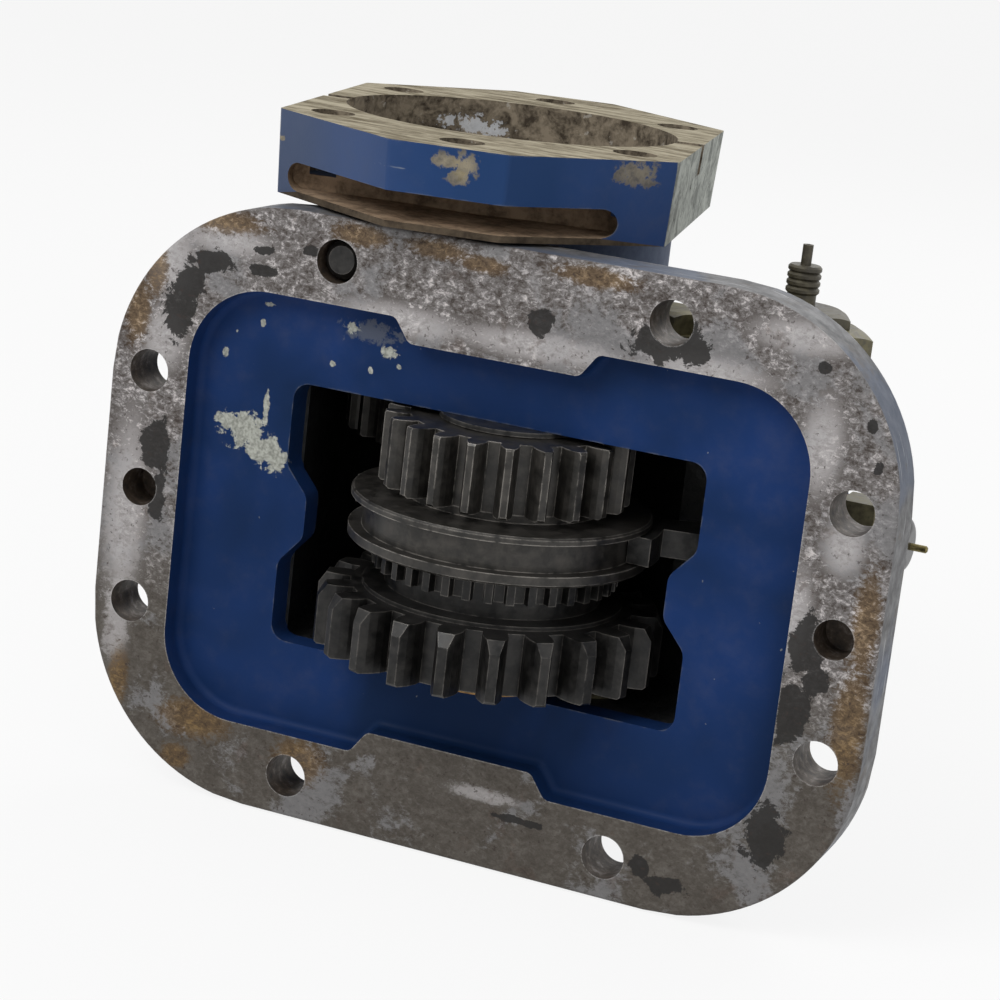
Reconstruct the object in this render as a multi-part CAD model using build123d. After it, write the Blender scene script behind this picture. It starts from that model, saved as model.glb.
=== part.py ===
from build123d import *
import math
import os

# Power take off unit for a truck gearbox, with an eight bolt mounting face, an air shifted
# sliding gear and an output shaft that turns a flange mounted pump.
# Millimetres. The origin is the centre of the mounting face, +Y goes into the unit, away from
# the gearbox, and +Z points along the gear shafts to the pump flange.

# Mounting face and its bolt pattern
FACE_WIDTH = 241.0
FACE_HEIGHT = 180.0
FACE_CORNER_R = 46.0
FACE_THICK = 16.0
FACE_EDGE_R = 1.2
SIDE_HOLE_EDGE = 12.55
SIDE_HOLE_Z = 35.4
END_HOLE_X = 50.7
END_HOLE_EDGE = 12.6
BOLT_HOLE_R = 6.35
DOWEL_HOLE_R = 5.7
DOWEL_HOLE_DEPTH = 12.0

# Recess in the face, the web at its floor and the window that the gears look out of
RECESS_WIDTH = 190.4
RECESS_HEIGHT = 130.0
RECESS_CORNER_R = 24.0
RECESS_DEPTH = 8.0
RECESS_FILLET = 2.3
TAB_HALF_WIDTH = 26.0
TAB_SLOPE_RUN = 5.0
TAB_DROP = 7.0
TAB_CORNER_R = 3.0
WINDOW_HALF_WIDTH = 64.0
WINDOW_TOP = 38.9
WINDOW_BOTTOM = -39.3
WAIST_HALF_WIDTH = 56.6
WAIST_TOP = 5.5
WAIST_BOTTOM = -7.0
WAIST_SLOPE = 8.5
WINDOW_CORNER_R = 5.0

# Gear train: a large input gear and a sliding gear on the idler shaft, an output gear behind
IDLER_Y = 20.0
OUTPUT_X = -35.5
PRESSURE_ANGLE = 20.0
BACKLASH = 0.25
INPUT_TEETH = 22
INPUT_MODULE = 4.2333
INPUT_BOTTOM = -32.0
INPUT_WIDTH = 18.1
INPUT_TIP_CHAMFER = 3.8
INPUT_PHASE = 0.0
INPUT_HUB_R = 20.0
INPUT_STEP_R = 38.0
INPUT_STEP_HEIGHT = 1.2
SLIDER_TEETH = 21
OUTPUT_TEETH = 24
TRAIN_MODULE = 3.175
SLIDER_BOTTOM = 16.9
SLIDER_WIDTH = 20.3
SLIDER_PHASE = 0.75
SLIDER_NECK_R = 29.0
OUTPUT_GEAR_BOTTOM = 16.6
OUTPUT_GEAR_WIDTH = 21.6
TIP_CHAMFER = 0.8

# Toothed clutch between the input gear and the sliding gear
CLUTCH_TEETH = 36
CLUTCH_TIP_R = 36.0
CLUTCH_TOOTH_DEPTH = 2.6
CLUTCH_TOP = -1.0
CLUTCH_WIDTH = 6.4
CLUTCH_TOOTH_SHARE = 0.44
CLUTCH_CLEARANCE = 0.35
CLUTCH_NECK_R = 31.5
SHIFT_TRAVEL = 8.5

# Shift collar, cut on the sliding gear
COLLAR_R = 43.8
COLLAR_BOTTOM = 0.3
COLLAR_HEIGHT = 14.2
GROOVE_BOTTOM = 3.5
GROOVE_HEIGHT = 8.9
GROOVE_DEPTH = 3.9
COLLAR_RIM_CHAMFER = 0.6

# Idler shaft with its bearings
IDLER_R = 9.5
IDLER_BOSS_R = 16.0
IDLER_BOSS_HEIGHT = 16.0
IDLER_PLUG_THICK = 2.0
NEEDLE_R = 2.0
NEEDLE_COUNT = 14
SLIDER_BUSH_WALL = 3.5
RUNNING_CLEARANCE = 0.05
SEAT_CLEARANCE = 0.02
THRUST_WASHER_R = 20.0
THRUST_WASHER_THICK = 2.0
STOP_WASHER_THICK = 1.4
INPUT_STOP_WASHER_R = 15.0
SLIDER_STOP_WASHER_R = 21.0
SNAP_RING_THICK = 1.6
SNAP_RING_WIDTH = 2.2
SNAP_GROOVE_DEPTH = 0.9
SNAP_RING_ROOM = 0.4
AXIAL_GAP = 0.25
SHIFT_END_GAP = 1.0

# Gear case behind the face
WALL = 7.0
CASE_HALF_HEIGHT = 41.0
GEAR_ROOM = 3.2
FRONT_CORNER_X = 56.0
FRONT_CORNER_Y = 28.0
FRONT_CORNER_R = 12.0
CASE_EDGE_R = 3.0
RIB_THICK = 8.0
RIB_REACH = 26.0

# Output shaft, its roller bearings and seal
OUTPUT_SHAFT_R = 17.5
OUTPUT_WAIST_R = 15.5
OUTPUT_SHOULDER_R = 20.5
OUTPUT_SHOULDER_HEIGHT = 3.4
LOWER_JOURNAL_R = 12.5
OUTPUT_TOP_DROP = 18.5
SPLINE_TEETH = 13
SPLINE_MAJOR_R = 11.1
SPLINE_MINOR_R = 9.6
SPLINE_DEPTH = 38.0
UPPER_BEARING_R = 36.0
UPPER_BEARING_WIDTH = 17.0
UPPER_BEARING_FLOOR = 4.0
LOWER_BEARING_R = 26.0
LOWER_BEARING_WIDTH = 15.0
RACE_SHARE = 0.27
ROLLER_COUNT = 12
ROLLER_END_GAP = 2.0
SPACER_WALL = 4.0
BOSS_LIP = 0.5
BOSS_R = 52.0
SEAL_R = 26.0
SEAL_HEIGHT = 8.0
SEAL_LAND = 2.0
SEAL_WEB = 5.0
KEY_WIDTH = 8.0
KEY_HEIGHT = 7.0

# Pump flange on its own neck, turned a little from the line of the mounting face
PUMP_TURN_ANGLE = 11.6
PUMP_RISE = 52.5
PUMP_THICK = 24.5
PUMP_HALF_WIDTH = 59.0
PUMP_SIDE_HALF_LENGTH = 52.0
PUMP_HALF_LENGTH = 90.0
PUMP_END_HALF_WIDTH = 17.0
PUMP_DRAFT_ANGLE = 3.0
PUMP_CORNER_R = 2.5
PILOT_R = 50.8
PILOT_DEPTH = 14.0
NECK_R = 52.7
NECK_INNER_R = 47.0
NECK_FLOOR = 9.5
FOUR_BOLT_PCD = 127.0
TWO_BOLT_SPACING = 146.0
PUMP_HOLE_R = 6.5
RELIEF_TOP_DROP = 14.2
RELIEF_HEIGHT = 8.4
RELIEF_LEFT = 54.0
RELIEF_RIGHT = 45.0
RELIEF_INNER = 50.0
RIM_SLOT_WIDTH = 5.6
RIM_SLOT_DEPTH = 9.0

# Bottom cover
COVER_R = 55.0
COVER_THICK = 7.0
COVER_SPIGOT_R = 43.5
COVER_SPIGOT_WALL = 5.0
COVER_SPIGOT_DROP = 2.0
COVER_BOSS_WALL = 5.0
COVER_EDGE_BEVEL = 1.5
GASKET_THICK = 0.5
COVER_SCREW_COUNT = 6
COVER_SCREW_CIRCLE_R = 49.2
COVER_SCREW_START_ANGLE = 30.0
NECK_SCREW_COUNT = 6
NECK_SCREW_CIRCLE_R = 41.0
NECK_SCREW_R = 3.0
NECK_SCREW_DEPTH = 9.0
NECK_SCREW_START_ANGLE = 15.0
NECK_SCREW_HEAD_R = 5.0
NECK_SCREW_HEAD = 6.0
COVER_SCREW_R = 3.0
COVER_SCREW_DEPTH = 10.0
COVER_SCREW_HEX = 10.0
COVER_SCREW_HEAD = 4.0
SCREW_HOLE_GAP = 0.3
SOCKET_SHARE = 1.8
HEX_BEVEL_HEIGHT = 0.12
HEX_BEVEL_WIDTH = 0.22
LOCK_SCREW_R = 4.0
LOCK_SCREW_RISE = 5.0
LOCK_SCREW_BITE = 2.0

# Air shift: rail, fork, piston, spring and cap
RAIL_X = 71.5
RAIL_Y = 50.0
RAIL_R = 7.0
RAIL_BOTTOM = -34.0
RAIL_GUIDE_TOP = -24.0
RAIL_GUIDE_WALL = 3.0
RAIL_BOSS_R = 11.5
SHIFT_ROOM_R = 14.5
SHIFT_WALL = 4.5
SHIFT_ROOM_DROP = 3.0
CYLINDER_DEPTH = 17.5
CYLINDER_R = 16.0
CYLINDER_WALL = 4.8
PISTON_HEIGHT = 5.9
PISTON_CLEARANCE = 0.08
PISTON_SEAL_R = 1.3
PISTON_SEAL_DEPTH = 2.1
FORK_CLEARANCE = 0.35
FORK_OUTER_R = 47.2
FORK_START_ANGLE = -2.5
FORK_END_ANGLE = 178.0
FORK_HUB_R = 12.5
FORK_HUB_BOTTOM = -5.0
FORK_HUB_TOP = 22.0
FORK_WEB = 11.0
FORK_PIN_R = 2.5
FORK_PIN_Z = 17.0
FORK_PIN_SHORT = 0.5
PISTON_SEAT_R = 5.0
PISTON_SCREW_R = 3.0
PISTON_SCREW_DEPTH = 5.0
PISTON_SCREW_HEAD_R = 7.5
PISTON_SCREW_HEAD = 2.4
CAP_HEX_ANGLE = 10.0
ADAPTER_HEX_ANGLE = 0.0
SPRING_WIRE_WIDTH = 2.2
SPRING_WIRE_HEIGHT = 1.5
SPRING_TURNS = 4
SPRING_RUNS = 12
SPRING_END_GAP = 0.1
SPRING_SIDE_GAP = 0.6
CAP_HEX = 38.0
CAP_HEIGHT = 11.8
CAP_WASHER_THICK = 1.2
CAP_SPIGOT_HEIGHT = 3.5
CAP_SPIGOT_WALL = 4.0
ADAPTER_HEX = 26.5
ADAPTER_HEIGHT = 4.3
ADAPTER_NECK_R = 4.2
ADAPTER_NECK_HEIGHT = 3.8
NIPPLE_R = 4.85
NIPPLE_HEIGHT = 8.2
NIPPLE_RIDGES = 4
NIPPLE_ROOT_R = 4.3
TUBE_R = 1.5
TUBE_HEIGHT = 5.8

# Indicator switch at the side, below the mounting face's top right hole
SWITCH_Z = 17.5
SWITCH_FACE_X = 91.5
SWITCH_BOSS_R = 12.5
SWITCH_HEX = 22.0
SWITCH_HEX_ANGLE = 30.0
SWITCH_HEX_LENGTH = 11.5
SWITCH_SHANK_R = 8.0
SWITCH_WASHER_THICK = 1.5
SWITCH_RIM = 3.0
SWITCH_SOCKET_DEPTH = 2.0
DOME_R = 8.8
DOME_LENGTH = 9.1
TERMINAL_R = 1.05
TERMINAL_LENGTH = 4.9
TERMINAL_FOOT = 2.0

# Plugs and the mounting bolt that was left in the face
PLUG_X = 35.0
PLUG_Y = 42.0
PLUG_BOSS_R = 12.0
PLUG_BOSS_HEIGHT = 18.0
PLUG_HEX = 19.0
PLUG_HEAD = 6.5
PLUG_FLANGE = 2.0
PLUG_FLANGE_R = 11.4
PLUG_SHANK_R = 7.0
PLUG_SHANK_LENGTH = 12.0
DRAIN_BOSS_HEIGHT = 4.0
DRAIN_X = 30.0
DRAIN_Y = 34.0
LEFT_BOLT_R = 5.55
LEFT_BOLT_SHORT = 2.0
LEFT_BOLT_HEX = 16.0
LEFT_BOLT_HEAD = 7.0
LEFT_BOLT_POINT = 1.5
LEFT_BOLT_SHIFT = (0.4, 0.3)

# Sizes that follow from the ones above
SIDE_HOLE_X = FACE_WIDTH / 2 - SIDE_HOLE_EDGE
END_HOLE_Z = FACE_HEIGHT / 2 - END_HOLE_EDGE
INPUT_PITCH_R = INPUT_TEETH * INPUT_MODULE / 2
INPUT_TIP_R = INPUT_PITCH_R + INPUT_MODULE
SLIDER_PITCH_R = SLIDER_TEETH * TRAIN_MODULE / 2
SLIDER_TIP_R = SLIDER_PITCH_R + TRAIN_MODULE
OUTPUT_PITCH_R = OUTPUT_TEETH * TRAIN_MODULE / 2
OUTPUT_TIP_R = OUTPUT_PITCH_R + TRAIN_MODULE
CENTRE_DISTANCE = SLIDER_PITCH_R + OUTPUT_PITCH_R
OUTPUT_Y = IDLER_Y + math.sqrt(CENTRE_DISTANCE ** 2 - OUTPUT_X ** 2)
CENTRE_LINE = math.degrees(math.atan2(OUTPUT_Y - IDLER_Y, OUTPUT_X))
IDLER = (0, IDLER_Y)
OUTPUT = (OUTPUT_X, OUTPUT_Y)
RAIL = (RAIL_X, RAIL_Y)
CASE_TOP = CASE_HALF_HEIGHT + WALL
IDLER_BOSS_TOP = CASE_TOP + IDLER_BOSS_HEIGHT
IDLER_TOP = IDLER_BOSS_TOP - IDLER_PLUG_THICK
LOCK_SCREW_Z = CASE_TOP + LOCK_SCREW_RISE
PLUG_BOSS_TOP = CASE_TOP + PLUG_BOSS_HEIGHT
SHIFT_ROOM_TOP = CASE_HALF_HEIGHT - SHIFT_ROOM_DROP
CYLINDER_FLOOR = SHIFT_ROOM_TOP + WALL
CYLINDER_TOP = CYLINDER_FLOOR + CYLINDER_DEPTH
INPUT_TOP = INPUT_BOTTOM + INPUT_WIDTH
SLIDER_TOP = SLIDER_BOTTOM + SLIDER_WIDTH
CLUTCH_ROOT_R = CLUTCH_TIP_R - CLUTCH_TOOTH_DEPTH
CLUTCH_BOTTOM = CLUTCH_TOP - CLUTCH_WIDTH
COLLAR_TOP = COLLAR_BOTTOM + COLLAR_HEIGHT
GROOVE_TOP = GROOVE_BOTTOM + GROOVE_HEIGHT
GROOVE_R = COLLAR_R - GROOVE_DEPTH
NEEDLE_CIRCLE_R = IDLER_R + RUNNING_CLEARANCE + NEEDLE_R
INPUT_BORE_R = NEEDLE_CIRCLE_R + NEEDLE_R + RUNNING_CLEARANCE
HUB_BOTTOM = WINDOW_BOTTOM + THRUST_WASHER_THICK + AXIAL_GAP
INPUT_RING_LOW = CLUTCH_TOP + AXIAL_GAP + STOP_WASHER_THICK
SLIDER_RING_LOW = SLIDER_BOTTOM + SLIDER_WIDTH + AXIAL_GAP + STOP_WASHER_THICK
BUSH_R = IDLER_R + RUNNING_CLEARANCE + SLIDER_BUSH_WALL
SOCKET_TOP = INPUT_RING_LOW + SNAP_RING_THICK + SHIFT_TRAVEL + SHIFT_END_GAP
PISTON_BOTTOM = CYLINDER_FLOOR + SHIFT_TRAVEL + SHIFT_END_GAP / 2
RAIL_GUIDE_BOTTOM = RAIL_BOTTOM - SHIFT_TRAVEL - 2 * SHIFT_END_GAP
BEARING_BOTTOM = CASE_HALF_HEIGHT + UPPER_BEARING_FLOOR
BEARING_TOP = BEARING_BOTTOM + UPPER_BEARING_WIDTH
UPPER_RACE_WALL = (UPPER_BEARING_R - OUTPUT_SHAFT_R) * RACE_SHARE
SHAFT_RING_LOW = BEARING_TOP + SEAT_CLEARANCE
BOSS_TOP = BEARING_TOP + BOSS_LIP
NECK_BOTTOM = BOSS_TOP + GASKET_THICK
PUMP_TOP = NECK_BOTTOM + PUMP_RISE
OUTPUT_TOP = PUMP_TOP - OUTPUT_TOP_DROP
COVER_TOP = -CASE_TOP - GASKET_THICK
COVER_BOTTOM = COVER_TOP - COVER_THICK
LOWER_BEARING_TOP = COVER_BOTTOM + COVER_THICK / 2 + LOWER_BEARING_WIDTH
FORK_BOTTOM = GROOVE_BOTTOM + FORK_CLEARANCE
FORK_TOP = GROOVE_TOP - FORK_CLEARANCE
OUTPUT_GEAR_TOP = OUTPUT_GEAR_BOTTOM + OUTPUT_GEAR_WIDTH
CAP_BOTTOM = CYLINDER_TOP + CAP_WASHER_THICK
CAP_TOP = CAP_BOTTOM + CAP_HEIGHT


def rod(radius, low, high, centre=(0, 0)):
    """A cylinder along Z."""
    return Pos(centre[0], centre[1], (low + high) / 2) * Cylinder(radius, high - low)


def along_y(radius, front, back, x, z):
    """A cylinder along Y."""
    return Pos(x, 0, z) * (Rot(-90, 0, 0) * rod(radius, front, back))


def tube(outer, inner, low, high, centre=(0, 0)):
    """A plain ring along Z."""
    return rod(outer, low, high, centre) - rod(inner, low - 1, high + 1, centre)


def block(x, y, z):
    """A box between pairs of limits."""
    size = [pair[1] - pair[0] for pair in (x, y, z)]
    middle = [(pair[0] + pair[1]) / 2 for pair in (x, y, z)]
    return Pos(*middle) * Box(*size)


def behind(depth):
    """Everything at the back of a depth, to keep the front of a shape off."""
    far = 2 * FACE_WIDTH
    return block((-far, far), (depth, far), (-far, far))


def column(sketch, low, high):
    """A sketch in X and Y, carried from one height to another."""
    return Pos(0, 0, low) * extrude(sketch, high - low, dir=(0, 0, 1))


def slab(sketch, front, back):
    """A sketch in X and Z, carried from one depth to another."""
    return Rot(90, 0, 0) * (Pos(0, 0, -back) * extrude(sketch, back - front, dir=(0, 0, 1)))


def plain_hexagon(across_flats, low, high):
    """A hexagonal prism along Z."""
    return column(RegularPolygon(across_flats / 2, 6, major_radius=False), low, high)


def hexagon(across_flats, low, high, turn=0):
    """A hexagonal prism along Z with its top corners turned off."""
    corner = across_flats / math.sqrt(3)
    top_edge = rod(corner, low, high).edges().group_by(Axis.Z)[-1]
    blank = chamfer(top_edge, HEX_BEVEL_HEIGHT * corner, HEX_BEVEL_WIDTH * corner)
    return Rot(0, 0, turn) * (plain_hexagon(across_flats, low, high) & blank)


def hull_of(circles):
    """The flat shape that a belt round some circles encloses."""
    edges = [Pos(x, y) * Edge.make_circle(radius) for x, y, radius in circles]
    return Sketch() + make_hull(edges)


def involute(angle):
    """The involute function of a pressure angle."""
    return math.tan(angle) - angle


def polar(radius, angle):
    """A point at a radius and an angle in radians."""
    return (radius * math.cos(angle), radius * math.sin(angle))


def gear_section(teeth, module, phase):
    """The outline of a spur gear with a tooth centred on the phase angle, in degrees."""
    pitch_r = teeth * module / 2
    base_r = pitch_r * math.cos(math.radians(PRESSURE_ANGLE))
    tip_r = pitch_r + module
    root_r = pitch_r - 1.25 * module
    half_at_pitch = math.pi / (2 * teeth) - BACKLASH / (4 * pitch_r)
    start_r = max(base_r, root_r)
    flank = [(start_r + (tip_r - start_r) * step / 3) for step in range(4)]
    radii = flank if root_r >= base_r else [root_r] + flank

    def half_angle(radius):
        acting = math.acos(min(1, base_r / max(radius, base_r)))
        return half_at_pitch + involute(math.radians(PRESSURE_ANGLE)) - involute(acting)

    edges = []
    pitch = 2 * math.pi / teeth
    for tooth in range(teeth):
        middle = math.radians(phase) + tooth * pitch
        rising = [polar(radius, middle - half_angle(radius)) for radius in radii]
        falling = [polar(radius, middle + half_angle(radius)) for radius in reversed(radii)]
        after = polar(root_r, middle + pitch - half_angle(radii[0]))
        edges += Polyline(*rising).edges()
        edges += ThreePointArc(rising[-1], polar(tip_r, middle), falling[0]).edges()
        edges += Polyline(*falling).edges()
        edges += ThreePointArc(falling[-1], polar(root_r, middle + pitch / 2), after).edges()
    return Sketch() + make_face(edges)


def ring_of_teeth(teeth, low_r, high_r, low_share, high_share, phase):
    """A closed outline that steps between two radii, with straight sloping tooth sides."""
    points = []
    pitch = 2 * math.pi / teeth
    for tooth in range(teeth):
        middle = math.radians(phase) + tooth * pitch
        points += [
            polar(low_r, middle - pitch * low_share / 2),
            polar(high_r, middle - pitch * high_share / 2),
            polar(high_r, middle + pitch * high_share / 2),
            polar(low_r, middle + pitch * low_share / 2),
        ]
    return Polygon(*points, align=None)


def on_circle(count, radius, start=0):
    """Places spread evenly round a circle."""
    return [polar(radius, math.radians(start) + 2 * math.pi * step / count) for step in range(count)]


def snap_ring(shaft_r, low, centre, thick=SNAP_RING_THICK, width=SNAP_RING_WIDTH):
    """An external retaining ring, open at one side, seated in a groove of the shaft."""
    inner = shaft_r - SNAP_GROOVE_DEPTH + SEAT_CLEARANCE
    ring = tube(inner + width, inner, low, low + thick)
    gap = block((0, shaft_r + 2 * width), (-width, width), (low - 1, low + thick + 1))
    return Pos(centre[0], centre[1], 0) * (ring - gap)


def snap_groove(shaft_r, low, centre, thick=SNAP_RING_THICK):
    """The groove that the ring above sits in."""
    reach = shaft_r + 2
    cut = tube(reach, shaft_r - SNAP_GROOVE_DEPTH, low - SEAT_CLEARANCE, low + thick + SEAT_CLEARANCE)
    return Pos(centre[0], centre[1], 0) * cut


def socket_screw(radius, length, head_r, head_height):
    """A cap screw with a hexagon socket, its head standing on Z = 0."""
    body = rod(head_r, 0, head_height) + rod(radius, -length, 0)
    return body - plain_hexagon(SOCKET_SHARE * radius, head_height / 2, head_height + 1)


def face_hole_places():
    """The eight bolt holes of the mounting face, in X and Z."""
    sides = [(x, z) for x in (-SIDE_HOLE_X, SIDE_HOLE_X) for z in (-SIDE_HOLE_Z, SIDE_HOLE_Z)]
    ends = [(x, z) for x in (-END_HOLE_X, END_HOLE_X) for z in (-END_HOLE_Z, END_HOLE_Z)]
    return sides + ends


def recess_section():
    """The opening in the face: a rounded rectangle with a tab in its top and bottom edges."""
    opening = RectangleRounded(RECESS_WIDTH, RECESS_HEIGHT, RECESS_CORNER_R)
    edge = RECESS_HEIGHT / 2
    foot = TAB_HALF_WIDTH + TAB_SLOPE_RUN
    tab = Polygon(
        (-foot, edge), (-TAB_HALF_WIDTH, edge - TAB_DROP), (TAB_HALF_WIDTH, edge - TAB_DROP), (foot, edge),
        (foot, edge + 1), (-foot, edge + 1), align=None)
    opening = opening - tab - Rot(0, 0, 180) * tab
    return fillet(opening.vertices().filter_by(lambda v: abs(v.X) < foot + 1), TAB_CORNER_R)


def window_section():
    """The window in the web, with a waist between its upper and lower halves."""
    right = [
        (WINDOW_HALF_WIDTH, WINDOW_TOP),
        (WINDOW_HALF_WIDTH, WAIST_TOP + WAIST_SLOPE),
        (WAIST_HALF_WIDTH, WAIST_TOP),
        (WAIST_HALF_WIDTH, WAIST_BOTTOM),
        (WINDOW_HALF_WIDTH, WAIST_BOTTOM - WAIST_SLOPE),
        (WINDOW_HALF_WIDTH, WINDOW_BOTTOM),
    ]
    left = [(-x, z) for x, z in reversed(right)]
    window = Polygon(*right, *left, align=None)
    return fillet(window.vertices(), WINDOW_CORNER_R)


def case_circles(extra):
    """The circles that the gear case is drawn round, each grown by a wall."""
    return [
        (-FRONT_CORNER_X, FRONT_CORNER_Y, FRONT_CORNER_R + extra),
        (FRONT_CORNER_X, FRONT_CORNER_Y, FRONT_CORNER_R + extra),
        (0, IDLER_Y, INPUT_TIP_R + GEAR_ROOM + extra),
        (OUTPUT_X, OUTPUT_Y, OUTPUT_TIP_R + GEAR_ROOM + extra),
    ]


def shift_circles(extra):
    """The circles that the room for the shift fork is drawn round."""
    return [(RAIL_X, RAIL_Y, SHIFT_ROOM_R + extra), (RAIL_X / 2, RAIL_Y, SHIFT_ROOM_R + extra)]


def case_body():
    """The outside of the gear case with its bosses, before it is hollowed."""
    case = column(hull_of(case_circles(WALL)), -CASE_TOP, CASE_TOP)
    case = case & behind(FACE_THICK - 1)
    round_edges = case.edges().filter_by(GeomType.CIRCLE)
    case = fillet(round_edges.filter_by(lambda edge: edge.center().Y > FACE_THICK), CASE_EDGE_R)
    floor = RAIL_GUIDE_TOP - 2 * WALL
    case += column(hull_of(shift_circles(SHIFT_WALL)), floor, SHIFT_ROOM_TOP + WALL)
    case += rod(CYLINDER_R + CYLINDER_WALL, SHIFT_ROOM_TOP, CYLINDER_TOP, RAIL)
    case += rod(RAIL_BOSS_R, RAIL_GUIDE_BOTTOM - RAIL_GUIDE_WALL, floor, RAIL)
    case += rod(BOSS_R, CASE_TOP - 1, BOSS_TOP, OUTPUT)
    case += rod(COVER_R, -CASE_TOP, -CASE_TOP + 2 * WALL, OUTPUT)
    case += rod(PLUG_BOSS_R, CASE_TOP - 1, PLUG_BOSS_TOP, (PLUG_X, PLUG_Y))
    case += rod(PLUG_BOSS_R, -CASE_TOP - DRAIN_BOSS_HEIGHT, -CASE_TOP + 1, (DRAIN_X, DRAIN_Y))
    switch = Rot(0, 90, 0) * rod(SWITCH_BOSS_R, RAIL_X + SHIFT_ROOM_R, SWITCH_FACE_X)
    case += Pos(0, RAIL_Y, SWITCH_Z) * switch
    idler = rod(IDLER_BOSS_R, -IDLER_BOSS_TOP, IDLER_BOSS_TOP, IDLER)
    return case + (idler & behind(RECESS_DEPTH))


def rib(x, low, high):
    """A gusset between the back of the face and the side of the gear case."""
    side = 1 if x > 0 else -1
    base = FACE_THICK - 1
    points = [(x, base), (x - side * RIB_REACH * 2, base), (x - side * RIB_REACH * 2, base + RIB_REACH)]
    return column(Polygon(*points, align=None), low, high)


def case_hollow():
    """The room inside the gear case and the bores that reach it."""
    room = column(hull_of(case_circles(0)), -CASE_HALF_HEIGHT, CASE_HALF_HEIGHT) & behind(FACE_THICK)
    room += column(hull_of(shift_circles(0)), RAIL_GUIDE_TOP, SHIFT_ROOM_TOP)
    room += rod(UPPER_BEARING_R - UPPER_RACE_WALL, CASE_HALF_HEIGHT - 1, BEARING_BOTTOM + 1, OUTPUT)
    room += rod(UPPER_BEARING_R + SEAT_CLEARANCE, BEARING_BOTTOM, BOSS_TOP + 1, OUTPUT)
    room += rod(COVER_SPIGOT_R + SEAT_CLEARANCE, -CASE_TOP - 1, -CASE_HALF_HEIGHT + 1, OUTPUT)
    ring_r = IDLER_R - SNAP_GROOVE_DEPTH + SNAP_RING_WIDTH + SNAP_RING_ROOM
    room += rod(ring_r, WINDOW_TOP - 1, SLIDER_RING_LOW + SNAP_RING_THICK + SNAP_RING_ROOM, IDLER)
    room += rod(RAIL_R + RUNNING_CLEARANCE, RAIL_GUIDE_BOTTOM, CYLINDER_FLOOR + 1, RAIL)
    room += rod(CYLINDER_R, CYLINDER_FLOOR, CYLINDER_TOP + 1, RAIL)
    room += rod(PLUG_SHANK_R + SEAT_CLEARANCE, CASE_HALF_HEIGHT - 1, PLUG_BOSS_TOP + 1, (PLUG_X, PLUG_Y))
    drain_low = -CASE_TOP - DRAIN_BOSS_HEIGHT - 1
    room += rod(PLUG_SHANK_R + SEAT_CLEARANCE, drain_low, -CASE_HALF_HEIGHT + 1, (DRAIN_X, DRAIN_Y))
    shank = rod(SWITCH_SHANK_R + SEAT_CLEARANCE, RAIL_X + SHIFT_ROOM_R - 3, SWITCH_FACE_X + 1)
    room += Pos(0, RAIL_Y, SWITCH_Z) * (Rot(0, 90, 0) * shank)
    return room


def housing():
    """The cast housing: mounting face, recessed web with its window, gear case and bosses."""
    face = slab(RectangleRounded(FACE_WIDTH, FACE_HEIGHT, FACE_CORNER_R), 0, FACE_THICK)
    face = fillet(face.edges().group_by(Axis.Y)[0], FACE_EDGE_R)
    body = face + case_body()
    for x in (-FRONT_CORNER_X - 2 * RIB_REACH, FRONT_CORNER_X + 2 * RIB_REACH):
        body += rib(x, -RIB_THICK / 2, RIB_THICK / 2)
    recess = slab(recess_section(), -1, RECESS_DEPTH)
    recess = fillet(recess.edges().group_by(Axis.Y)[-1], RECESS_FILLET)
    body -= recess
    body -= slab(window_section(), RECESS_DEPTH - 1, FACE_THICK + 1)
    for x, z in face_hole_places():
        body -= along_y(BOLT_HOLE_R, -1, FACE_THICK + 1, x, z)
    for x in (-SIDE_HOLE_X, SIDE_HOLE_X):
        body -= along_y(DOWEL_HOLE_R, -1, DOWEL_HOLE_DEPTH, x, 0)
    body -= case_hollow()
    body += rod(THRUST_WASHER_R + 1, -CASE_HALF_HEIGHT - 1, WINDOW_BOTTOM, IDLER) & behind(RECESS_DEPTH)
    body -= rod(IDLER_R + SEAT_CLEARANCE, -IDLER_BOSS_TOP - 1, IDLER_BOSS_TOP + 1, IDLER)
    for place in cover_screw_places():
        hole = rod(COVER_SCREW_R + SEAT_CLEARANCE, -CASE_TOP - 1, COVER_SCREW_DEPTH + 1 - CASE_TOP, place)
        body -= at_output(hole)
    for place in neck_screw_places():
        hole = rod(NECK_SCREW_R + SEAT_CLEARANCE, BOSS_TOP - NECK_SCREW_DEPTH - 1, BOSS_TOP + 1, place)
        body -= at_output(hole)
    body -= lock_screw(SEAT_CLEARANCE)
    back = IDLER_Y + IDLER_BOSS_R
    return body - along_y(LOCK_SCREW_R + SEAT_CLEARANCE, back - 2, back + 2 * LOCK_SCREW_R, 0, LOCK_SCREW_Z)


def turned(points, centre=(0, 0)):
    """A solid of revolution about a line along Z, from points of radius and height."""
    return Pos(centre[0], centre[1], 0) * revolve(Plane.XZ * Polygon(*points, align=None), Axis.Z, 360)


def at_output(part):
    """Carries what was drawn about Z to the output shaft."""
    return Pos(OUTPUT_X, OUTPUT_Y, 0) * part


def at_idler(part):
    """Carries what was drawn about Z to the idler shaft."""
    return Pos(0, IDLER_Y, 0) * part


def gear_blank(tip_r, low, high, low_chamfer, high_chamfer):
    """The turned blank that a gear is cut from, with its corners bevelled."""
    top = tip_r + 0.1
    return turned([
        (0, low), (top - low_chamfer, low), (top, low + low_chamfer),
        (top, high - high_chamfer), (top - 0.6 * high_chamfer, high), (0, high)])


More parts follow.
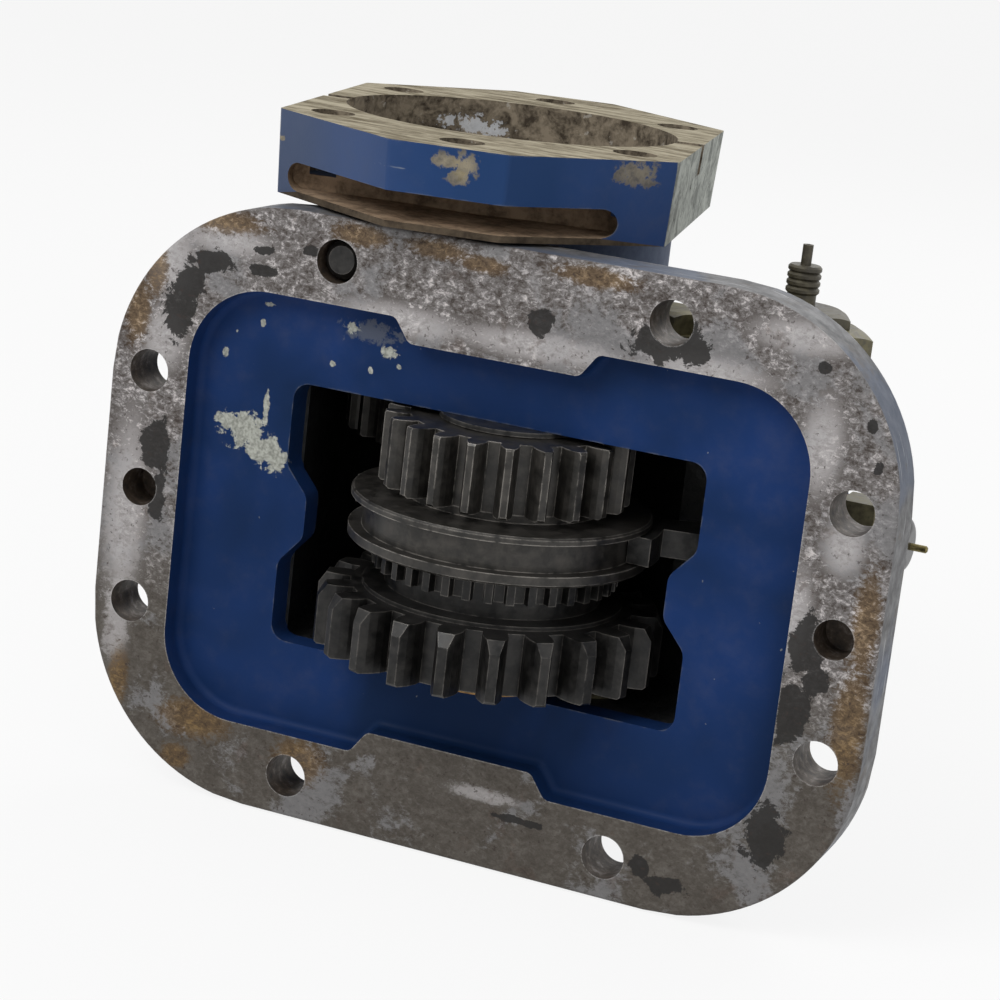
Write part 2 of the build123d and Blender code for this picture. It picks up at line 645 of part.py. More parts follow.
def input_gear():
    """The large gear that meets the gearbox, with its hub and the outer half of the clutch."""
    teeth = column(gear_section(INPUT_TEETH, INPUT_MODULE, INPUT_PHASE), INPUT_BOTTOM, INPUT_TOP)
    gear = teeth & gear_blank(INPUT_TIP_R, INPUT_BOTTOM, INPUT_TOP, TIP_CHAMFER, INPUT_TIP_CHAMFER)
    gear += rod(INPUT_HUB_R, HUB_BOTTOM, INPUT_BOTTOM)
    gear += rod(INPUT_STEP_R, INPUT_TOP, INPUT_TOP + INPUT_STEP_HEIGHT)
    gear += rod(CLUTCH_NECK_R, INPUT_TOP, CLUTCH_BOTTOM)
    wide = CLUTCH_TOOTH_SHARE + 0.06
    narrow = CLUTCH_TOOTH_SHARE - 0.06
    clutch = ring_of_teeth(CLUTCH_TEETH, CLUTCH_ROOT_R, CLUTCH_TIP_R, wide, narrow, 0)
    gear += column(clutch, CLUTCH_BOTTOM, CLUTCH_TOP)
    return at_idler(gear - rod(INPUT_BORE_R, HUB_BOTTOM - 1, CLUTCH_TOP + 1))


def input_needles():
    """Loose needle rollers that fill the space between the idler shaft and the input gear."""
    low = HUB_BOTTOM + AXIAL_GAP
    high = CLUTCH_TOP - AXIAL_GAP
    return [at_idler(rod(NEEDLE_R, low, high, place)) for place in on_circle(NEEDLE_COUNT, NEEDLE_CIRCLE_R)]


def sliding_gear():
    """The gear that slides on the idler shaft, with the fork groove and the inner half of the clutch."""
    teeth = column(gear_section(SLIDER_TEETH, TRAIN_MODULE, SLIDER_PHASE), SLIDER_BOTTOM, SLIDER_TOP)
    gear = teeth & gear_blank(SLIDER_TIP_R, SLIDER_BOTTOM, SLIDER_TOP, TIP_CHAMFER, TIP_CHAMFER)
    rim = COLLAR_RIM_CHAMFER
    gear += turned([
        (0, COLLAR_BOTTOM), (COLLAR_R - rim, COLLAR_BOTTOM), (COLLAR_R, COLLAR_BOTTOM + rim),
        (COLLAR_R, GROOVE_BOTTOM), (GROOVE_R, GROOVE_BOTTOM), (GROOVE_R, GROOVE_TOP),
        (COLLAR_R, GROOVE_TOP), (COLLAR_R, COLLAR_TOP - rim), (COLLAR_R - rim, COLLAR_TOP),
        (0, COLLAR_TOP)])
    gear += rod(SLIDER_NECK_R, COLLAR_TOP, SLIDER_BOTTOM)
    side = CLUTCH_CLEARANCE / (2 * math.pi * CLUTCH_TIP_R / CLUTCH_TEETH)
    wide = CLUTCH_TOOTH_SHARE + 0.06 + 2 * side
    narrow = CLUTCH_TOOTH_SHARE - 0.06 + 2 * side
    low_r = CLUTCH_ROOT_R + CLUTCH_CLEARANCE
    socket = ring_of_teeth(CLUTCH_TEETH, low_r, CLUTCH_TIP_R + CLUTCH_CLEARANCE, wide, narrow, 0)
    gear -= column(socket, COLLAR_BOTTOM - 1, SOCKET_TOP)
    return at_idler(gear - rod(BUSH_R, SOCKET_TOP - 1, SLIDER_TOP + 1))


def slider_bush():
    """The bronze bush that the sliding gear turns and slides on."""
    return tube(BUSH_R, IDLER_R + RUNNING_CLEARANCE, SOCKET_TOP, SLIDER_TOP, IDLER)


def idler_shaft():
    """The fixed shaft across the case, with the grooves for two snap rings."""
    shaft = turned([
        (0, -IDLER_TOP), (IDLER_R - 1, -IDLER_TOP), (IDLER_R, 1 - IDLER_TOP),
        (IDLER_R, IDLER_TOP - 1), (IDLER_R - 1, IDLER_TOP), (0, IDLER_TOP)], IDLER)
    for low in (INPUT_RING_LOW, SLIDER_RING_LOW):
        shaft -= snap_groove(IDLER_R, low, IDLER)
    return shaft - lock_screw(SEAT_CLEARANCE)


def lock_screw(grow=0.0):
    """The set screw that keeps the idler shaft from turning."""
    back = IDLER_Y + IDLER_BOSS_R - 1
    return along_y(LOCK_SCREW_R + grow, IDLER_Y + IDLER_R - LOCK_SCREW_BITE - grow, back, 0, LOCK_SCREW_Z)


def lock_screw_with_socket():
    """The set screw with the hexagon socket in its outer end."""
    back = IDLER_Y + IDLER_BOSS_R - 1
    socket = Rot(-90, 0, 0) * plain_hexagon(LOCK_SCREW_R, back - LOCK_SCREW_R * 0.75, back + 1)
    return lock_screw() - Pos(0, 0, LOCK_SCREW_Z) * socket


def idler_plugs():
    """The two discs that close the idler shaft's bore."""
    return [
        rod(IDLER_R, IDLER_TOP, IDLER_BOSS_TOP, IDLER),
        rod(IDLER_R, -IDLER_BOSS_TOP, -IDLER_TOP, IDLER),
    ]


def output_phase():
    """The angle of one tooth of the output gear, so that it is in mesh with the sliding gear."""
    pitch = 360 / SLIDER_TEETH
    turn = (CENTRE_LINE - SLIDER_PHASE) % pitch
    return CENTRE_LINE + 180 + turn * SLIDER_TEETH / OUTPUT_TEETH + 180 / OUTPUT_TEETH


def keyway(grow):
    """The space of the output gear's key, in the shaft and in the gear."""
    low_r = OUTPUT_SHAFT_R - KEY_HEIGHT / 2 - grow
    high_r = OUTPUT_SHAFT_R + KEY_HEIGHT / 2 + grow
    half = KEY_WIDTH / 2 + grow
    end = OUTPUT_GEAR_BOTTOM + 1 - grow
    return block((low_r, high_r), (-half, half), (end, OUTPUT_GEAR_TOP - 1 + grow))


def output_gear():
    """The gear that drives the output shaft."""
    low = OUTPUT_GEAR_BOTTOM
    high = OUTPUT_GEAR_TOP
    teeth = column(gear_section(OUTPUT_TEETH, TRAIN_MODULE, output_phase()), low, high)
    gear = teeth & gear_blank(OUTPUT_TIP_R, low, high, TIP_CHAMFER, TIP_CHAMFER)
    gear -= rod(OUTPUT_SHAFT_R + SEAT_CLEARANCE, low - 1, high + 1)
    for lift in (-2, 0, 2):
        gear -= Pos(0, 0, lift) * keyway(SEAT_CLEARANCE)
    return at_output(gear)


def output_shaft():
    """The hollow output shaft with its bearing seats, shoulder, keyway and splined socket."""
    low = LOWER_BEARING_TOP - LOWER_BEARING_WIDTH
    shoulder = OUTPUT_GEAR_BOTTOM - OUTPUT_SHOULDER_HEIGHT
    shaft = turned([
        (0, low), (LOWER_JOURNAL_R - 1, low), (LOWER_JOURNAL_R, low + 1),
        (LOWER_JOURNAL_R, LOWER_BEARING_TOP), (OUTPUT_WAIST_R, LOWER_BEARING_TOP),
        (OUTPUT_WAIST_R, shoulder), (OUTPUT_SHOULDER_R, shoulder),
        (OUTPUT_SHOULDER_R, OUTPUT_GEAR_BOTTOM), (OUTPUT_SHAFT_R, OUTPUT_GEAR_BOTTOM),
        (OUTPUT_SHAFT_R, OUTPUT_TOP - 1.5), (OUTPUT_SHAFT_R - 1.5, OUTPUT_TOP), (0, OUTPUT_TOP)])
    shaft -= snap_groove(OUTPUT_SHAFT_R, SHAFT_RING_LOW, (0, 0))
    shaft -= keyway(SEAT_CLEARANCE)
    splines = ring_of_teeth(SPLINE_TEETH, SPLINE_MINOR_R, SPLINE_MAJOR_R, 0.56, 0.42, 0)
    return at_output(shaft - column(splines, OUTPUT_TOP - SPLINE_DEPTH, OUTPUT_TOP + 1))


def bearing(inner_r, outer_r, low, high):
    """A roller bearing: its inner race, its outer race and its rollers."""
    wall = (outer_r - inner_r) * RACE_SHARE
    track_in = inner_r + wall
    track_out = outer_r - wall
    roller_r = (track_out - track_in) / 2 - RUNNING_CLEARANCE
    middle_r = (track_in + track_out) / 2
    ends = (low + ROLLER_END_GAP, high - ROLLER_END_GAP)
    rollers = [rod(roller_r, *ends, place) for place in on_circle(ROLLER_COUNT, middle_r)]
    return (
        at_output(tube(track_in, inner_r + SEAT_CLEARANCE, low, high)),
        at_output(tube(outer_r, track_out, low, high)),
        [at_output(roller) for roller in rollers],
    )


def shaft_seal():
    """The rubber lip seal above the upper bearing."""
    low = NECK_BOTTOM + NECK_FLOOR - SEAL_HEIGHT
    high = low + SEAL_HEIGHT
    lip = OUTPUT_SHAFT_R + RUNNING_CLEARANCE
    back = lip + SEAL_LAND
    case = SEAL_R - SEAL_LAND
    web = low + SEAL_WEB
    return at_output(turned([
        (lip, low + SEAL_LAND), (back, low), (SEAL_R, low), (SEAL_R, high),
        (case, high), (case, web), (back, web)]))


def pump_outline():
    """The long octagon of the pump flange, with its corners rounded."""
    quarter = [(PUMP_HALF_WIDTH, PUMP_SIDE_HALF_LENGTH), (PUMP_END_HALF_WIDTH, PUMP_HALF_LENGTH)]
    left = [(-x, y) for x, y in reversed(quarter)]
    lower = [(-x, -y) for x, y in quarter + left]
    outline = Polygon(*quarter, *left, *lower, align=None)
    return fillet(outline.vertices(), PUMP_CORNER_R)


def relief():
    """The long pocket with round ends in the front of the flange, above its lower lip."""
    middle = (RELIEF_RIGHT - RELIEF_LEFT) / 2
    height = PUMP_TOP - RELIEF_TOP_DROP - RELIEF_HEIGHT / 2
    slot = SlotOverall(RELIEF_RIGHT + RELIEF_LEFT, RELIEF_HEIGHT)
    return Pos(middle, 0, height) * slab(slot, -PUMP_HALF_LENGTH - 5, -RELIEF_INNER)


def pump_hole_places():
    """The flange's bolt holes: four on a circle and two on the long axis."""
    two = [(0, -TWO_BOLT_SPACING / 2), (0, TWO_BOLT_SPACING / 2)]
    return on_circle(4, FOUR_BOLT_PCD / 2, 45) + two


def pump_flange():
    """The flange and neck that the pump bolts to, a casting of its own."""
    flange = extrude(pump_outline(), PUMP_THICK, taper=PUMP_DRAFT_ANGLE)
    flange = Pos(0, 0, PUMP_TOP) * Rot(180, 0, 0) * flange
    flange -= relief()
    flange -= Rot(0, 0, 180) * relief()
    flange += rod(NECK_R, NECK_BOTTOM, PUMP_TOP - 1)
    flange += rod(UPPER_BEARING_R - SEAT_CLEARANCE, BEARING_TOP + AXIAL_GAP, NECK_BOTTOM)
    flange -= rod(NECK_INNER_R, NECK_BOTTOM + NECK_FLOOR, PUMP_TOP + 1)
    flange -= rod(PILOT_R, PUMP_TOP - PILOT_DEPTH, PUMP_TOP + 1)
    flange -= rod(SEAL_R, NECK_BOTTOM + NECK_FLOOR - SEAL_HEIGHT, PUMP_TOP)
    flange -= rod(SEAL_R - SEAL_LAND, BEARING_TOP, PUMP_TOP)
    for place in pump_hole_places():
        flange -= rod(PUMP_HOLE_R, PUMP_TOP - RELIEF_TOP_DROP - 4, PUMP_TOP + 1, place)
    for place in neck_screw_places(-PUMP_TURN_ANGLE):
        flange -= rod(NECK_SCREW_R + SCREW_HOLE_GAP, BEARING_TOP, NECK_BOTTOM + NECK_FLOOR + 1, place)
    reach = PUMP_HALF_WIDTH + 5
    half = RIM_SLOT_WIDTH / 2
    flange -= block((-reach, reach), (-half, half), (PUMP_TOP - RIM_SLOT_DEPTH, PUMP_TOP + 1))
    return at_output(Rot(0, 0, PUMP_TURN_ANGLE) * flange)


def neck_gasket():
    """The gasket between the housing and the pump flange's neck."""
    gasket = tube(BOSS_R - 0.5, UPPER_BEARING_R + 0.5, BOSS_TOP, NECK_BOTTOM)
    for place in neck_screw_places():
        gasket -= rod(NECK_SCREW_R + SCREW_HOLE_GAP, BOSS_TOP - 1, NECK_BOTTOM + 1, place)
    return at_output(gasket)


def neck_screws():
    """The socket screws that hold the pump flange from inside its neck."""
    length = NECK_FLOOR + GASKET_THICK + NECK_SCREW_DEPTH
    screw = socket_screw(NECK_SCREW_R, length, NECK_SCREW_HEAD_R, NECK_SCREW_HEAD)
    return [at_output(Pos(x, y, NECK_BOTTOM + NECK_FLOOR) * screw) for x, y in neck_screw_places()]


def neck_screw_places(turn=0.0):
    """Where the neck's screws go, about the output shaft."""
    return on_circle(NECK_SCREW_COUNT, NECK_SCREW_CIRCLE_R, NECK_SCREW_START_ANGLE + turn)


def cover_screw_places():
    """Where the bottom cover's screws go, about the output shaft."""
    return on_circle(COVER_SCREW_COUNT, COVER_SCREW_CIRCLE_R, CENTRE_LINE + COVER_SCREW_START_ANGLE)


def bottom_cover():
    """The cover under the output gear, with the lower bearing's seat in its boss."""
    plate = rod(COVER_R, COVER_BOTTOM, COVER_TOP)
    plate = chamfer(plate.edges().group_by(Axis.Z)[0], COVER_EDGE_BEVEL)
    spigot_top = -CASE_HALF_HEIGHT - COVER_SPIGOT_DROP
    cover = plate + tube(COVER_SPIGOT_R, COVER_SPIGOT_R - COVER_SPIGOT_WALL, COVER_TOP - 1, spigot_top)
    cover += rod(LOWER_BEARING_R + COVER_BOSS_WALL, COVER_TOP, LOWER_BEARING_TOP)
    cover -= rod(LOWER_BEARING_R, LOWER_BEARING_TOP - LOWER_BEARING_WIDTH, LOWER_BEARING_TOP + 1)
    for place in cover_screw_places():
        cover -= rod(COVER_SCREW_R + SCREW_HOLE_GAP, COVER_BOTTOM - 1, COVER_TOP + 1, place)
    return at_output(cover)


def bottom_gasket():
    """The gasket between the bottom cover and the case."""
    gasket = tube(COVER_R - 0.5, COVER_SPIGOT_R + 0.1, COVER_TOP, -CASE_TOP)
    for place in cover_screw_places():
        gasket -= rod(COVER_SCREW_R + SCREW_HOLE_GAP, COVER_TOP - 1, 1 - CASE_TOP, place)
    return at_output(gasket)


def cover_screws():
    """The hexagon screws of the bottom cover."""
    length = COVER_THICK + GASKET_THICK + COVER_SCREW_DEPTH
    head = plain_hexagon(COVER_SCREW_HEX, 0, COVER_SCREW_HEAD)
    screw = Rot(180, 0, 0) * (head + rod(COVER_SCREW_R, -length, 0))
    return [at_output(Pos(x, y, COVER_BOTTOM) * screw) for x, y in cover_screw_places()]


def input_thrust_washer():
    """The bronze washer that the input gear's hub runs on."""
    high = WINDOW_BOTTOM + THRUST_WASHER_THICK
    return tube(THRUST_WASHER_R, IDLER_R + RUNNING_CLEARANCE, WINDOW_BOTTOM, high, IDLER)


def output_spacer():
    """The sleeve between the output gear and the upper bearing."""
    inner = OUTPUT_SHAFT_R + SEAT_CLEARANCE
    return tube(OUTPUT_SHAFT_R + SPACER_WALL, inner, OUTPUT_GEAR_TOP, BEARING_BOTTOM, OUTPUT)


def stop_washer(radius, low):
    """A thrust washer on the idler shaft."""
    return tube(radius, IDLER_R + RUNNING_CLEARANCE, low, low + STOP_WASHER_THICK, IDLER)


def shift_rail():
    """The rail that carries the fork, with the piston's seat at its top."""
    top = PISTON_BOTTOM + PISTON_HEIGHT
    rail = rod(RAIL_R, RAIL_BOTTOM, PISTON_BOTTOM) + rod(PISTON_SEAT_R, PISTON_BOTTOM, top)
    rail = chamfer(rail.edges().group_by(Axis.Z)[0], 1)
    rail -= rod(PISTON_SCREW_R, PISTON_BOTTOM - PISTON_SCREW_DEPTH - 1, top + 1)
    cross = Rot(0, 90, 0) * rod(FORK_PIN_R, -RAIL_R - 1, RAIL_R + 1)
    return Pos(RAIL_X, RAIL_Y, 0) * (rail - Pos(0, 0, FORK_PIN_Z) * cross)


def fork_sector(angle_from, angle_to, reach):
    """A flat wedge about the idler shaft between two angles."""
    steps = 5
    angles = [angle_from + (angle_to - angle_from) * step / steps for step in range(steps + 1)]
    return Polygon((0, 0), *[polar(reach, math.radians(angle)) for angle in angles], align=None)


def shift_fork():
    """The fork: a half ring in the collar's groove on an arm from the rail."""
    inner = GROOVE_R + FORK_CLEARANCE
    ring = Circle(FORK_OUTER_R) & fork_sector(FORK_START_ANGLE, FORK_END_ANGLE, 2 * FORK_OUTER_R)
    to_hub = math.degrees(math.atan2(RAIL_Y - IDLER_Y, RAIL_X))
    foot = polar((inner + FORK_OUTER_R) / 2, math.radians(to_hub))
    arm = hull_of([(foot[0], foot[1], FORK_WEB / 2), (RAIL_X, RAIL_Y - IDLER_Y, FORK_HUB_R - 2)])
    fork = at_idler(column(ring + arm - Circle(inner), FORK_BOTTOM, FORK_TOP))
    fork += rod(FORK_HUB_R, FORK_HUB_BOTTOM, FORK_HUB_TOP, RAIL)
    fork -= rod(RAIL_R + SEAT_CLEARANCE, FORK_HUB_BOTTOM - 1, FORK_HUB_TOP + 1, RAIL)
    cross = Rot(0, 90, 0) * rod(FORK_PIN_R, -FORK_HUB_R - 1, FORK_HUB_R + 1)
    return fork - Pos(RAIL_X, RAIL_Y, FORK_PIN_Z) * cross


def fork_pin():
    """The roll pin through the fork and the rail."""
    reach = FORK_HUB_R - FORK_PIN_SHORT
    pin = tube(FORK_PIN_R - SEAT_CLEARANCE, FORK_PIN_R / 2, -reach, reach)
    return Pos(RAIL_X, RAIL_Y, FORK_PIN_Z) * (Rot(0, 90, 0) * pin)


def shift_piston():
    """The piston that the air pushes down, with the groove for its seal."""
    outer = CYLINDER_R - PISTON_CLEARANCE
    low = PISTON_BOTTOM
    top = low + PISTON_HEIGHT
    middle = (low + top) / 2
    piston = tube(outer, PISTON_SEAT_R + SEAT_CLEARANCE, low, top)
    groove = tube(outer + 1, outer - PISTON_SEAL_DEPTH, middle - PISTON_SEAL_R, middle + PISTON_SEAL_R)
    return Pos(RAIL_X, RAIL_Y, 0) * (piston - groove)


def piston_seal():
    """The square ring in the piston's groove."""
    middle = PISTON_BOTTOM + PISTON_HEIGHT / 2
    outer = CYLINDER_R - RUNNING_CLEARANCE
    inner = CYLINDER_R - PISTON_CLEARANCE - PISTON_SEAL_DEPTH
    return tube(outer, inner, middle - PISTON_SEAL_R, middle + PISTON_SEAL_R, RAIL)


def piston_screw():
    """The screw that holds the piston on the rail."""
    top = PISTON_BOTTOM + PISTON_HEIGHT
    length = PISTON_HEIGHT + PISTON_SCREW_DEPTH
    screw = socket_screw(PISTON_SCREW_R - SEAT_CLEARANCE, length, PISTON_SCREW_HEAD_R, PISTON_SCREW_HEAD)
    return Pos(RAIL_X, RAIL_Y, top) * screw


def return_spring():
    """The spring under the fork that lifts the sliding gear out of mesh, a coil of short straight runs."""
    height = FORK_HUB_BOTTOM - RAIL_GUIDE_TOP - SPRING_WIRE_HEIGHT - 2 * SPRING_END_GAP
    radius = RAIL_R + SPRING_SIDE_GAP + SPRING_WIRE_WIDTH / 2
    steps = SPRING_TURNS * SPRING_RUNS
    sections = []
    for step in range(steps + 1):
        turn = 2 * math.pi * step / SPRING_RUNS
        place = (*polar(radius, turn), height * step / steps)
        across = Plane(origin=place, x_dir=(*polar(1, turn), 0), z_dir=(*polar(1, turn + math.pi / 2), 0))
        sections.append(across * Rectangle(SPRING_WIRE_WIDTH, SPRING_WIRE_HEIGHT))
    wire = loft(sections, ruled=True)
    return Pos(RAIL_X, RAIL_Y, RAIL_GUIDE_TOP + SPRING_WIRE_HEIGHT / 2 + SPRING_END_GAP) * wire


def shift_cap():
    """The hexagon cap that closes the air cylinder."""
    cap = hexagon(CAP_HEX, CAP_BOTTOM, CAP_TOP, turn=CAP_HEX_ANGLE)
    cap += rod(CYLINDER_R - SEAT_CLEARANCE, CAP_BOTTOM - CAP_SPIGOT_HEIGHT, CAP_BOTTOM)
    cap -= rod(CYLINDER_R - CAP_SPIGOT_WALL, CAP_BOTTOM - CAP_SPIGOT_HEIGHT - 1, CAP_BOTTOM + 1)
    return Pos(RAIL_X, RAIL_Y, 0) * (cap - rod(ADAPTER_NECK_R, CAP_BOTTOM, CAP_TOP + 1))


def cap_washer():
    """The sealing washer under the hexagon cap."""
    return tube(CYLINDER_R + CYLINDER_WALL - 0.6, CYLINDER_R + 0.1, CYLINDER_TOP, CAP_BOTTOM, RAIL)


def air_adapter():
    """The air inlet: a hexagon, a plain neck and a ridged nipple above it."""
    top = CAP_TOP + ADAPTER_HEIGHT
    stem_top = top + ADAPTER_NECK_HEIGHT
    adapter = hexagon(ADAPTER_HEX, CAP_TOP, top, turn=ADAPTER_HEX_ANGLE)
    adapter += rod(ADAPTER_NECK_R - SEAT_CLEARANCE, CAP_BOTTOM + 2, stem_top)
    ridge = NIPPLE_HEIGHT / NIPPLE_RIDGES
    points = [(0, stem_top)]
    for step in range(NIPPLE_RIDGES):
        low = stem_top + step * ridge
        points += [(NIPPLE_ROOT_R, low), (NIPPLE_R, low + ridge * 0.3), (NIPPLE_R, low + ridge * 0.7)]
    points += [(NIPPLE_ROOT_R, stem_top + NIPPLE_HEIGHT), (0, stem_top + NIPPLE_HEIGHT)]
    adapter += turned(points)
    adapter -= rod(TUBE_R + SEAT_CLEARANCE, CAP_BOTTOM, stem_top + NIPPLE_HEIGHT + 1)
    return Pos(RAIL_X, RAIL_Y, 0) * adapter


def air_tube():
    """The stub of metal air pipe left in the inlet."""
    low = CAP_TOP + ADAPTER_HEIGHT + ADAPTER_NECK_HEIGHT
    return tube(TUBE_R, TUBE_R / 2, low, low + NIPPLE_HEIGHT + TUBE_HEIGHT, RAIL)


def along_x(part):
    """Turns what was drawn along Z to lie along X, on the indicator switch's line."""
    return Pos(0, RAIL_Y, SWITCH_Z) * (Rot(0, 90, 0) * part)


def switch_body():
    """The hexagon body of the indicator switch with its screwed shank."""
    low = SWITCH_FACE_X + SWITCH_WASHER_THICK
    high = low + SWITCH_HEX_LENGTH
    body = hexagon(SWITCH_HEX, low, high, turn=SWITCH_HEX_ANGLE)
    body += rod(SWITCH_SHANK_R, RAIL_X + SHIFT_ROOM_R - 1, low)
    body -= rod(SWITCH_HEX / 2 - SWITCH_RIM, high - SWITCH_SOCKET_DEPTH, high + 1)
    return along_x(body)


def switch_washer():
    """The washer under the indicator switch."""
    high = SWITCH_FACE_X + SWITCH_WASHER_THICK
    return along_x(tube(SWITCH_HEX / 2, SWITCH_SHANK_R + 0.1, SWITCH_FACE_X, high))


def switch_dome():
    """The moulded insulator at the end of the indicator switch."""
    low = SWITCH_FACE_X + SWITCH_WASHER_THICK + SWITCH_HEX_LENGTH
    foot = SWITCH_HEX / 2 - SWITCH_RIM - SEAT_CLEARANCE
    dome = rod(foot, low - SWITCH_SOCKET_DEPTH, low) + rod(DOME_R, low, low + DOME_LENGTH)
    dome = fillet(dome.edges().group_by(Axis.Z)[-1], DOME_R * 0.5)
    return along_x(dome - rod(TERMINAL_R + SEAT_CLEARANCE, low + TERMINAL_FOOT, low + DOME_LENGTH + 1))


def switch_terminal():
    """The metal terminal pin of the indicator switch."""
    low = SWITCH_FACE_X + SWITCH_WASHER_THICK + SWITCH_HEX_LENGTH
    high = low + DOME_LENGTH + TERMINAL_LENGTH
    pin = rod(TERMINAL_R, low + TERMINAL_FOOT, high)
    return along_x(chamfer(pin.edges().group_by(Axis.Z)[-1], TERMINAL_R * 0.4))


def plug():
    """A hexagon plug with a flange, its seat on Z = 0."""
    flange = rod(PLUG_FLANGE_R, 0, PLUG_FLANGE)
    head = hexagon(PLUG_HEX, PLUG_FLANGE, PLUG_FLANGE + PLUG_HEAD)
    return flange + head + rod(PLUG_SHANK_R, -PLUG_SHANK_LENGTH, 0)


def left_bolt():
    """The bolt that was left in the mounting face, its end just short of the face."""
    bolt = hexagon(LEFT_BOLT_HEX, 0, LEFT_BOLT_HEAD)
    shank = rod(LEFT_BOLT_R, LEFT_BOLT_SHORT - FACE_THICK, 0)
    bolt += chamfer(shank.edges().group_by(Axis.Z)[0], LEFT_BOLT_POINT)
    x = LEFT_BOLT_SHIFT[0] - END_HOLE_X
    return Pos(x, FACE_THICK, END_HOLE_Z + LEFT_BOLT_SHIFT[1]) * (Rot(-90, 0, 0) * bolt)


def pieces():
    """Every node of the unit, by name."""
    upper = bearing(OUTPUT_SHAFT_R, UPPER_BEARING_R, BEARING_BOTTOM, BEARING_TOP)
    lower_low = LOWER_BEARING_TOP - LOWER_BEARING_WIDTH
    lower = bearing(LOWER_JOURNAL_R, LOWER_BEARING_R, lower_low, LOWER_BEARING_TOP)
    return {
        "housing": housing(),
        "pump_flange": pump_flange(),
        "neck_gasket": neck_gasket(),
        "neck_screws": neck_screws(),
        "bottom_cover": bottom_cover(),
        "bottom_gasket": bottom_gasket(),
        "cover_screws": cover_screws(),
        "idler_shaft": idler_shaft(),
        "idler_lock_screw": lock_screw_with_socket(),
        "idler_plugs": idler_plugs(),
        "input_gear": input_gear(),
        "input_needles": input_needles(),
        "input_thrust_washer": input_thrust_washer(),
        "input_stop_washer": stop_washer(INPUT_STOP_WASHER_R, INPUT_RING_LOW - STOP_WASHER_THICK),
        "input_snap_ring": snap_ring(IDLER_R, INPUT_RING_LOW, IDLER),
        "sliding_gear": sliding_gear(),
        "slider_bush": slider_bush(),
        "slider_stop_washer": stop_washer(SLIDER_STOP_WASHER_R, SLIDER_RING_LOW - STOP_WASHER_THICK),
        "slider_snap_ring": snap_ring(IDLER_R, SLIDER_RING_LOW, IDLER),
        "output_shaft": output_shaft(),
        "output_gear": output_gear(),
        "output_key": at_output(keyway(0)),
        "output_spacer": output_spacer(),
        "shaft_snap_ring": snap_ring(OUTPUT_SHAFT_R, SHAFT_RING_LOW, OUTPUT),
        "upper_inner_race": upper[0],
        "upper_outer_race": upper[1],
        "upper_rollers": upper[2],
        "lower_inner_race": lower[0],
        "lower_outer_race": lower[1],
        "lower_rollers": lower[2],
        "shaft_seal": shaft_seal(),
        "shift_rail": shift_rail(),
        "shift_fork": shift_fork(),
        "fork_pin": fork_pin(),
        "shift_piston": shift_piston(),
        "piston_seal": piston_seal(),
        "piston_screw": piston_screw(),
        "return_spring": return_spring(),
        "shift_cap": shift_cap(),
        "cap_washer": cap_washer(),
        "air_adapter": air_adapter(),
        "air_tube": air_tube(),
        "switch_body": switch_body(),
        "switch_washer": switch_washer(),
        "switch_dome": switch_dome(),
        "switch_terminal": switch_terminal(),
        "oil_plug": Pos(PLUG_X, PLUG_Y, PLUG_BOSS_TOP) * plug(),
        "drain_plug": Pos(DRAIN_X, DRAIN_Y, -CASE_TOP - DRAIN_BOSS_HEIGHT) * (Rot(180, 0, 0) * plug()),
        "left_bolt": left_bolt(),
    }


os.makedirs("parts", exist_ok=True)
for name, piece in pieces().items():
    solids = piece if isinstance(piece, list) else [piece]
    whole = Compound(children=[solid for shape in solids for solid in shape.solids()])
    export_step(whole, f"parts/{name}.step")
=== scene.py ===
import math

import bmesh
import bpy
from mathutils import Matrix, Vector


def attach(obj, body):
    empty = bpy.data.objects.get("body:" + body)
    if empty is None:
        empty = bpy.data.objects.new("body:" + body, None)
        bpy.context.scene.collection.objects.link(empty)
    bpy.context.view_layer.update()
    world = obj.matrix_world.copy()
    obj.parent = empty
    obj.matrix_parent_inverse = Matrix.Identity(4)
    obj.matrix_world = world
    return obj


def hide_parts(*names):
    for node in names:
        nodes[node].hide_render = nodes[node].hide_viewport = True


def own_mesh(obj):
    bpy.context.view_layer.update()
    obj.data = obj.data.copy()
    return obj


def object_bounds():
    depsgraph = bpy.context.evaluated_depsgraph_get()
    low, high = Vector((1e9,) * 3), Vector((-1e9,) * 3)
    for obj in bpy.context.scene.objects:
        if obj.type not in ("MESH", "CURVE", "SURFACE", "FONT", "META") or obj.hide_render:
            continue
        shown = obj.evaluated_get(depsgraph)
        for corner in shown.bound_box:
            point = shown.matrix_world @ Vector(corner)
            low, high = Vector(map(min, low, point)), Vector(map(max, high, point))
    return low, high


# Looks of the power take off unit: old paint, bare and stained metal, oily gears, studio and camera.
# Lengths and places are in millimetres, in the frame of the CAD part, and in metres where a name ends in _M.

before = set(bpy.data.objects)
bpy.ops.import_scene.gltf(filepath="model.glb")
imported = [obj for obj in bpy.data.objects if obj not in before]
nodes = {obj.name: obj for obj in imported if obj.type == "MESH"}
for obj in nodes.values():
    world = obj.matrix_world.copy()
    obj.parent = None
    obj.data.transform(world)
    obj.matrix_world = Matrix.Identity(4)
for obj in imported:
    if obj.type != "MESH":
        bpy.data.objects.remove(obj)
cad_box = [list(corner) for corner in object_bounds()]

MM = 0.001
CLOSE = 0.1

# The housing's mounting face. Holes are given as x, z and the reach of their walls.
FACE_HALF = (120.5, 90.0)
FACE_THICK = 16.0
FACE_EDGE = 1.3
FACE_HOLES = ((107.95, 35.4, 6.5), (50.7, 77.4, 6.5), (107.95, 0.0, 5.9))
SOLID_CORNER = 46.0
WORN_CORNER = 56.0
RIM_DEPTH = 1.6
RIM_REACH = 1.5

